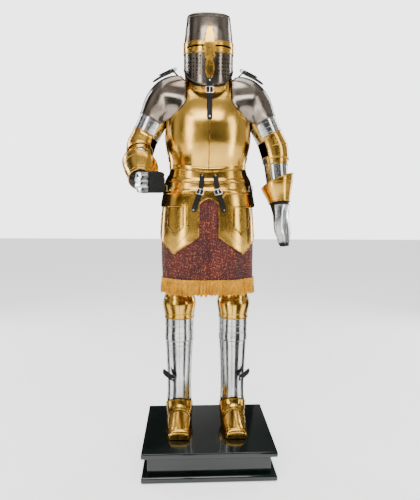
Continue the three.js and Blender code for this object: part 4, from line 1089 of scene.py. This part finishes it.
def makeSkirt():
    mesh = smoothSheet("skirt", skirt["level"], ())
    for vert in mesh.vertices:
        away = awayFrom(vert.co)
        turn = math.atan2(away.x, -away.y)
        low = 1 - clamped((vert.co.z - skirt["foldsFrom"]) / skirt["foldsOver"])
        ripple = (noise.noise(Vector((turn * 3.6, vert.co.z * 4.5, 2.5)))
                  + 0.5 * noise.noise(Vector((turn * 9, vert.co.z * 9, 7.5))))
        vert.co += away * (ripple - 0.45) * skirt["wrinkle"] * mm * (skirt["least"] + low)
        vert.co -= away * skirt["pleat"] * mm * math.exp(-(turn / skirt["pleatHalf"]) ** 2)
    uvs = mesh.uv_layers.new(name="cloth")
    for polygon in mesh.polygons:
        points = [mesh.vertices[index].co for index in polygon.vertices]
        turns = [turnOf(point) for point in points]
        for loop, point, turn in zip(polygon.loop_indices, points, turns):
            if max(turns) - min(turns) > math.pi and turn < 0:
                turn += 2 * math.pi
            uvs.data[loop].uv = (turn * skirt["uvRadius"], point.z)
    area = sum(polygon.area for polygon in mesh.polygons)
    hemPoints = [vert.co.copy() for vert in mesh.vertices if vert.co.z < skirt["hem"]]
    obj = addPiece("skirtCloth", thickened(mesh, skirt["cloth"]), "brocade", ["skirt"])
    heights = [vert.co.z for vert in cadNodes["skirt"].data.vertices]
    tall = max(heights) - min(heights)
    print("skirt area", round(area, 4), "height", round(tall, 4), "hem points", len(hemPoints))
    return hemPoints, obj, (area / tall, tall)


def makeFringe(rim):
    random.seed(fringe["seed"])
    rim.sort(key=turnOf)
    count = len(rim)

    def hem(share):
        place = (share % 1) * count
        low = int(place) % count
        point = rim[low].lerp(rim[(low + 1) % count], place - int(place))
        return point, awayFrom(point)

    spots = []
    for index in range(fringe["strands"]):
        share = (index + random.uniform(-0.3, 0.3)) / fringe["strands"]
        point, away = hem(share)
        clump = ((share + 0.004 * math.sin(share * 83)) * fringe["clumps"]) % 1 - 0.5
        sideways = Vector((-away.y, away.x, 0))
        lean = sideways * (-0.3 * clump + random.uniform(-0.07, 0.07)) + away * random.uniform(-0.05, 0.09)
        direction = (lean - upward).normalized()
        wave = math.sin(share * 2 * math.pi * 13) + 0.6 * math.sin(share * 2 * math.pi * 29 + 1)
        length = random.uniform(*fringe["length"]) - 3.5 + 2.5 * wave - 8 * abs(clump)
        depth = (index % 3) * 1.5 + random.uniform(-0.5, 0.5)
        start = point + away * (depth + 0.6) * mm + upward * 2 * mm
        spin = Vector((random.uniform(-1, 1), random.uniform(-1, 1), 0))
        spots.append((start, -direction, spin, Vector((fringe["thick"], fringe["thick"], length)) * mm))
    ruffle = []
    for step in range(fringe["backingRows"]):
        row = []
        for index in range(fringe["backingColumns"]):
            share = index / fringe["backingColumns"]
            point, away = hem(share)
            fold = math.sin(share * 2 * math.pi * fringe["clumps"] + 0.8 * math.sin(share * 50))
            drop = fringe["backing"] * step / (fringe["backingRows"] - 1)
            row.append(point + away * (fold * (0.4 + 0.5 * step) + 1.5) * mm - upward * drop * mm)
        ruffle.append(row)
    cords = []
    for height, depth in fringe["cords"]:
        line = []
        for index in range(fringe["cordColumns"]):
            point, away = hem(index / fringe["cordColumns"])
            line.append(point + away * depth * mm + upward * (height + 0.8 * math.sin(index * 0.9)) * mm)
        cords.append((line, True))
    parts = [scatterMesh("strand", spots, "bullion"),
             thickened(gridMesh(ruffle, True), fringe["backingWall"]),
             tubeMesh(cords, fringe["cord"] * mm, "bullion", 7)]
    addPiece("bullionFringe", joinedMesh(parts), "bullion", ["fringe"])


hemPoints, skirtCloth, skirtFlat = makeSkirt()
makeFringe(hemPoints)
print("skirt and fringe made")


def boxMesh(centre, axes, halves):
    corners = [centre + sum((axis * sign * half for axis, sign, half in zip(axes, signs, halves)), Vector())
               for signs in [(-1, -1, -1), (1, -1, -1), (1, 1, -1), (-1, 1, -1),
                             (-1, -1, 1), (1, -1, 1), (1, 1, 1), (-1, 1, 1)]]
    mesh = bpy.data.meshes.new("cutter")
    mesh.from_pydata(corners, [], [(0, 3, 2, 1), (4, 5, 6, 7), (0, 1, 5, 4),
                                   (1, 2, 6, 5), (2, 3, 7, 6), (3, 0, 4, 7)])
    return mesh


def slitCutters():
    slit = helm["slit"]
    cutters = []
    for tag, side in sides:
        inner, outer = [Vector((side * x, -30, z)) for x, z in (slit["inner"], slit["outer"])]
        along = (outer - inner).normalized()
        centre = ((inner + outer) / 2 + acrossX * suitShift) * mm
        cutters.append(boxMesh(centre, (along, -frontward, along.cross(-frontward)),
                               ((outer - inner).length / 2 * mm, slit["depth"] * mm,
                                slit["height"] / 2 * mm)))
    return cutters


def helmNormal(turn, z):
    return (helmPoint(turn, z, 10) - helmPoint(turn, z)).normalized()


def holeCutter():
    # Breaths: slanting rows of small holes on each cheek below the eye band
    holes = helm["holes"]
    size = Vector((holes["radius"], holes["radius"], 6)) * mm
    spots = []
    for tag, side in sides:
        for row in range(holes["rows"]):
            for column in range(holes["columns"]):
                turn = side * math.radians(holes["first"] + holes["apart"] * column)
                z = holes["top"] - holes["drop"] * row - holes["slant"] * column
                z += holes["stagger"] * (column % 2)
                if z >= helmRim(turn) + holes["clear"]:
                    spots.append((helmPoint(turn, z), helmNormal(turn, z), upward, size))
    return scatterMesh("rod", spots, "dark_steel")


def carve(mesh, cutters):
    obj = newObject("carved", mesh)
    tools = []
    for cutter in cutters:
        tools.append(newObject("tool", cutter))
        cut = obj.modifiers.new("cut", "BOOLEAN")
        cut.operation = "DIFFERENCE"
        cut.solver = "EXACT"
        cut.object = tools[-1]
    return finishedMesh(obj, *tools)


def helmPiece(name, node, look, sheet, cutters, rim, sideCount=8, wall=plateWall, extras=()):
    # A curved plate of the helm, pierced and with a rolled edge
    markEdges(sheet, node)
    parts = [carve(thickened(sheet, wall), cutters), edgeTube(sheet.copy(), rim * mm, look, sideCount)]
    addPiece(name, joinedMesh(parts + list(extras)), look, [node], 32)


def stripRows():
    strip = helm["strip"]
    rows = []
    for (z, half), (nextZ, nextHalf) in zip(strip["outline"], strip["outline"][1:]):
        steps = max(1, round((nextZ - z) / strip["step"]))
        rows += [(z + (nextZ - z) * k / steps, half + (nextHalf - half) * k / steps) for k in range(steps)]
    return rows + [strip["outline"][-1]]


def makeHelm():
    columns, rim = helm["columns"], helm["rim"]
    turns = [2 * math.pi * k / columns for k in range(columns)]
    rows = [[helmPoint(turn, helmRim(turn) + (rim["top"] - helmRim(turn)) * j / rim["rows"], plateWall)
             for turn in turns] for j in range(rim["rows"])]
    rows += [[helmPoint(turn, z, plateWall) for turn in turns] for z in helm["rowsUp"]]
    helmPiece("helmSkull", "helm_skull", "dark_steel", gridMesh(rows, True, True),
              slitCutters() + [holeCutter()], 1.8)

    band = helm["band"]
    grid = gridMesh([[helmPoint(turn, z, band["lift"]) for turn in turns] for z in band["rows"]], True)
    rivets = [(helmPoint(turn, z, band["lift"]), helmNormal(turn, z))
              for turn in map(math.radians, range(15, 360, 30)) for z in band["rivets"]]
    helmPiece("helmBand", "helm_band", "brass", grid, slitCutters(), 1.2,
              extras=[domesAt(rivets, band["rivet"], "brass", 1.6 / 2.6)])

    strip = helm["strip"]
    grid = gridMesh([[helmPoint(half * k / 4 / strip["arc"], z, strip["lift"]) for k in range(-4, 5)]
                     for z, half in stripRows()], False)
    frets = [(helmPoint(x / strip["arc"], z, 4), frontward, upward, Vector((radius, radius, 3.4)) * mm)
             for x, z, radius in strip["frets"]]
    pins = [(helmPoint(0, z, strip["lift"]), frontward) for z in strip["pins"]]
    helmPiece("helmSpear", "helm_spear", "brass", grid, [scatterMesh("rod", frets, "brass")], 0.9, 6, 1.5,
              [domesAt(pins, 2.3, "brass", 1.5 / 2.3)])
    seam = [helmPoint(turn, helm["seam"], 1.9) for turn in turns]   # where the top is let in
    addPiece("helmSeam", tubeMesh([(seam, True)], 0.9 * mm, "dark_steel", 6), "dark_steel")


makeHelm()
print("helm made")


arms = {
    # millimetres from the suit's middle, for the left arm; the right is mirrored
    "shoulder": (235.2, 60, 1501.4), "elbow": (292, 60, 1390), "upperAxis": (0.454, 0, -0.891),
    "wrist": {"R": (279, -126, 1238), "L": (314, 12, 1154)},
    "pauldronInner": 100, "pauldronLow": 0.014, "rerebraceLines": (14, 36, 58), "cuffLines": (74, 8),
    "finger": 0.022, "gloveWall": 2.0, "handLift": {"R": 0.002, "L": 0.0016},
}
armRims = {"pauldron": 2.2, "rerebrace": 1.3, "couter": 1.8, "couter_lame": 1.3, "vambrace": 1.2,
           "gauntlet_cuff": 2.0, "hand_plate": 1.2}   # radius of the rolled edge


def trimmedInside(side):
    # The pauldron ends in a straight edge beside the neck, and its low edge hangs a little lower
    def shape(mesh):
        work = workOn(mesh)
        bmesh.ops.bisect_plane(work, geom=work.verts[:] + work.edges[:] + work.faces[:],
                               plane_co=acrossX * (side * arms["pauldronInner"] * mm + suitX),
                               plane_no=acrossX * side, clear_inner=True)
        store(work, mesh)
        for vert in mesh.vertices:
            low = clamped((1.55 - vert.co.z) / 0.08)
            vert.co.z -= arms["pauldronLow"] * low * low
        return mesh
    return shape


def fingers(axis, first, depth, low=None, high=None):
    # Rounded fingers along a glove: the leather swells between the seams
    def shape(mesh):
        for vert in mesh.vertices:
            share = 1 if low is None else clamped((vert.co.z - low) / (high - low))
            swell = abs(math.sin(math.pi * (vert.co[axis] - first) / arms["finger"]))
            vert.co += vert.normal * (depth * share * (swell - 0.5))
        return mesh
    return shape


def lifted(height):
    def shape(mesh):
        for vert in mesh.vertices:
            vert.co += vert.normal * height
        return mesh
    return shape


def inTurn(*shapes):
    def shape(mesh):
        for each in shapes:
            mesh = each(mesh)
        return mesh
    return shape


def broadened(side):
    # The hanging hand keeps its breadth towards the fingertips
    def shape(mesh):
        middle = side * 0.338 + suitX
        for vert in mesh.vertices:
            low = clamped((1.09 - vert.co.z) / 0.07)
            vert.co.x = middle + (vert.co.x - middle) * (1 + 0.38 * low)
        return mesh
    return shape


def armPoint(side, place):
    return Vector((side * place[0] + suitShift, place[1], place[2]))


def makeArms():
    for tag, side in sides:
        x, y, z = arms["upperAxis"]
        axis = Vector((side * x, y, z))
        shoulder, elbow, wrist = [armPoint(side, place)
                                  for place in (arms["shoulder"], arms["elbow"], arms["wrist"][tag])]
        forearm = (wrist - elbow).normalized()
        plate("pauldron_" + tag, "dark_steel", armRims["pauldron"], shape=trimmedInside(side))
        plate("rerebrace_" + tag, "steel", armRims["rerebrace"],
              extras=[beadAt(shoulder + axis * along, axis, 1.0, "steel") for along in arms["rerebraceLines"]])
        plate("couter_" + tag, "brass", armRims["couter"],
              extras=[beadAt(elbow, (axis + forearm).normalized(), 1.2, "brass")])
        plate("couter_lame_" + tag, "brass", armRims["couter_lame"])
        plate("vambrace_" + tag, "steel", armRims["vambrace"])
        plate("gauntlet_cuff_" + tag, "brass", armRims["gauntlet_cuff"], 3,
              extras=[beadAt(wrist - forearm * back, forearm, 1.0, "brass") for back in arms["cuffLines"]])
        if tag == "L":
            hand = inTurn(broadened(side), fingers(0, side * 0.3 + suitX, 0.003, 1.06, 1.0))
        else:
            hand = fingers(2, 1.176, 0.004)
        plate("hand_plate_" + tag, "steel", armRims["hand_plate"],
              shape=inTurn(hand, lifted(arms["handLift"][tag])))
        plate("glove_" + tag, "glove", 0, thickness=arms["gloveWall"], shape=hand)


makeArms()
print("arms made")


legs = {
    "foot": ("sabaton_toe", "sabaton_lame_low", "sabaton_lame_high", "sabaton_ankle"),
    "greaveLines": (262, 500), "lameLines": (560, 590), "kneeLines": (648, 716), "calfWall": 2.0,
}
legRims = {"foot": 1.0, "heel_plate": 1.3, "greave_front": 1.4, "knee_lame": 1.2, "poleyn": 1.7,
           "cuisse": 1.2}


def makeLegs():
    for tag, side in sides:
        creases = [side * legX + suitX]
        for name in legs["foot"]:
            plate(name + "_" + tag, "brass", legRims["foot"], creases=creases)
            darkSeam(name + "_" + tag)
        plate("heel_plate_" + tag, "brass", legRims["heel_plate"])
        plate("greave_front_" + tag, "steel", legRims["greave_front"], 2, creases,
              beadsUp(legs["greaveLines"], 0.9, "steel"))
        plate("greave_back_" + tag, "leather", 0, thickness=legs["calfWall"])
        plate("knee_lame_" + tag, "steel", legRims["knee_lame"], 2, creases,
              beadsUp(legs["lameLines"], 0.9, "steel"))
        plate("poleyn_" + tag, "brass", legRims["poleyn"], 2, creases,
              beadsUp(legs["kneeLines"], 1.1, "brass"))
        plate("cuisse_" + tag, "steel", legRims["cuisse"])


makeLegs()
print("legs made")


def strapFromNode(name):
    # A strap of the frame, its corners rounded
    work = mergedNode(name)
    joinTriangles(work)
    layer = work.edges.layers.float.new("crease_edge")
    for edge in work.edges:
        if edge.calc_face_angle(0) > math.radians(60):
            edge[layer] = 0.85
    obj, finer = finerObject(store(work, bpy.data.meshes.new(name)), 2)
    addPiece(name + "_leather", finishedMesh(obj), "leather", [name], 35)


straps = {
    # millimetres: heights, or x from the suit's middle and height, or x, y and height
    "chin": [1652, 1640, 1624, 1608, 1592, 1576, 1560, 1545, 1530, 1515, 1500, 1484],
    "chinLoop": (1588, 1583, 1578), "chinBuckle": 1606, "chinStuds": (1496, 1644),
    "tasset": [(29, 1262), (30, 1240), (33, 1214), (38, 1190), (45, 1168), (53, 1146), (60, 1124), (65, 1106)],
    "shoulder": [(114, 1688), (126, 1690), (138, 1702), (152, 1714), (176, 1704), (210, 1688), (243, 1667)],
    "hip": [1288, 1262, 1236, 1206, 1176, 1150, 1126],
    "leg": [(146, 2, 356), (160, 10, 360), (174, 22, 365), (186, 32, 371), (198, 40, 377)],
    "calfBuckles": (0.3, 0.38, 0.46, 0.56, 0.6), "waistBuckle": 1.333,
}
leather = {  # width and thickness
    "chinBelt": (23, 3.2), "chinLoop": (28, 2.2), "tassetBelt": (21, 3.2), "tassetBillet": (17, 2.4),
    "shoulderBelt": (27, 3.6), "shoulderBillet": (22, 2.6), "hipBelt": (22, 3.2), "hipBillet": (18, 2.6),
    "legTab": (28, 3),
}
buckles = {  # width, height, radius of the wire, and how far it stands off
    "chin": (33, 24, 1.7, 3.0), "tasset": (30, 22, 1.6, 1.5), "shoulder": (36, 26, 2.0, 2.0),
    "hip": (30, 24, 1.7, 3.0), "waist": (28, 20, 1.3, 1.0), "leg": (16, 14, 1.2, 1.6),
}


def frontOf(x, z, lift, least=None):
    # The foremost point of the suit at x, z, no farther back than least
    hit = solidTree.ray_cast(Vector((x * mm, -0.9, z * mm)), -frontward)
    y = hit[0].y - lift * mm
    return Vector((x * mm, y if least is None else min(y, least * mm), z * mm))


def besideOf(side, y, z, lift):
    hit = solidTree.ray_cast(Vector((side * 0.2, y * mm, z * mm)), -acrossX * side)
    return Vector((hit[0].x + side * lift * mm, y * mm, z * mm))


def addStuds(name, spots, radius):
    addPiece(name, domesAt(spots, radius, "silver"), "silver")


def makeChinStrap():
    points = [frontOf(suitShift, z, 0.6, -64) for z in straps["chin"]]
    bentStrip("chinBelt", points, -acrossX, *leather["chinBelt"], ["chin_strap"])
    loop = [frontOf(suitShift, z, 4.2, -67.5) for z in straps["chinLoop"]]
    bentStrip("chinLoop", loop, -acrossX, *leather["chinLoop"], pointed=False)
    addBuckle("chinBuckle", frontOf(suitShift, straps["chinBuckle"], 1.5, -68), frontward, upward,
              *buckles["chin"])
    low, high = straps["chinStuds"]
    addStuds("chinStuds", [(frontOf(suitShift, low, 4.6), frontward),
                           (frontOf(suitShift, high, 4.2, -68), frontward)], 4)


def makeTassetStrap(tag, side):
    line = [frontOf(side * x + suitShift, z, -0.6) for x, z in straps["tasset"]]
    lean = Vector((-1, 0, -side * 0.25)).normalized()
    bentStrip("tassetBelt_" + tag, line, lean, *leather["tassetBelt"], ["tasset_strap_" + tag])
    billet = [point + frontward * 3.6 * mm for point in line[2:6]]
    bentStrip("tassetBillet_" + tag, billet, lean, *leather["tassetBillet"])
    addBuckle("tassetBuckle_" + tag, line[3] + frontward * 5 * mm, frontward,
              Vector((side * 0.25, 0, -1)).normalized(), *buckles["tasset"])
    addStuds("tassetStuds_" + tag, [(line[0] + frontward * 4.4 * mm - upward * 6 * mm, frontward),
                                    (line[-1] + frontward * 4.4 * mm + upward * 8 * mm, frontward)], 3.6)


def makeShoulderStrap(tag, side):
    line = [Vector((side * x + suitShift, 60, z)) * mm for x, z in straps["shoulder"]]
    across = -frontward * side
    bentStrip("shoulderBelt_" + tag, line, across, *leather["shoulderBelt"],
              ["shoulder_strap_" + tag])
    billet = [point + upward * 6 * mm + Vector((side * 0.006, -0.004, 0)) for point in line[2:6]]
    bentStrip("shoulderBillet_" + tag, billet, across, *leather["shoulderBillet"])
    addBuckle("shoulderBuckle_" + tag, line[3] + upward * 4 * mm, upward,
              Vector((side, 0, -0.3)).normalized(), *buckles["shoulder"])


def makeHipStrap(tag, side):
    line = [besideOf(side, 10 + 4 * math.sin(k), z, 3.5 + 0.9 * k) for k, z in enumerate(straps["hip"])]
    slant = Vector((-side * 0.62, 0.78, 0)) * side
    outward = Vector((side * 0.78, -0.62, 0))
    bentStrip("hipBelt_" + tag, line, slant, *leather["hipBelt"])
    billet = [point + outward * 4 * mm for point in line[1:5]]
    bentStrip("hipBillet_" + tag, billet, slant, *leather["hipBillet"])
    addBuckle("hipBuckle_" + tag, line[3] + outward * 3 * mm, outward, upward, *buckles["hip"])
    addStuds("hipStuds_" + tag, [(line[0] + outward * 3.4 * mm, outward)], 3.6)


def makeLegStraps(tag, side):
    line = [Vector((side * x + suitShift, y, z)) * mm for x, y, z in straps["leg"]]
    bentStrip("legTab_" + tag, line, Vector((0, 0.1, -side)).normalized(), *leather["legTab"])
    outward = Vector((side * 0.35, -0.93, 0))
    addStuds("legStud_" + tag, [(line[0] + outward * 5.5 * mm + acrossX * side * 0.006, outward)], 4)


def makeSideBuckles(tag, side):
    # One at the waist, and a row down the inner side of the leg
    strapFromNode("side_strap_" + tag)
    spot = solidTree.ray_cast(Vector((side * 0.9, torsoY, straps["waistBuckle"])), -acrossX * side)
    addBuckle("waistBuckle_" + tag, spot[0], acrossX * side, -frontward, *buckles["waist"])
    middle = side * legX + suitX
    for index, z in enumerate(straps["calfBuckles"]):
        spot = solidTree.ray_cast(Vector((middle - side * 0.12, 0.052, z)), Vector((side, 0.1, 0)))
        addBuckle("legBuckle_%s_%d" % (tag, index), spot[0], -acrossX * side, -frontward,
                  *buckles["leg"])


plate("collar", "leather", 2.6, thickness=2.2)
makeChinStrap()
for tag, side in sides:
    for make in (makeTassetStrap, makeShoulderStrap, makeHipStrap, makeLegStraps, makeSideBuckles):
        make(tag, side)
print("leather made")
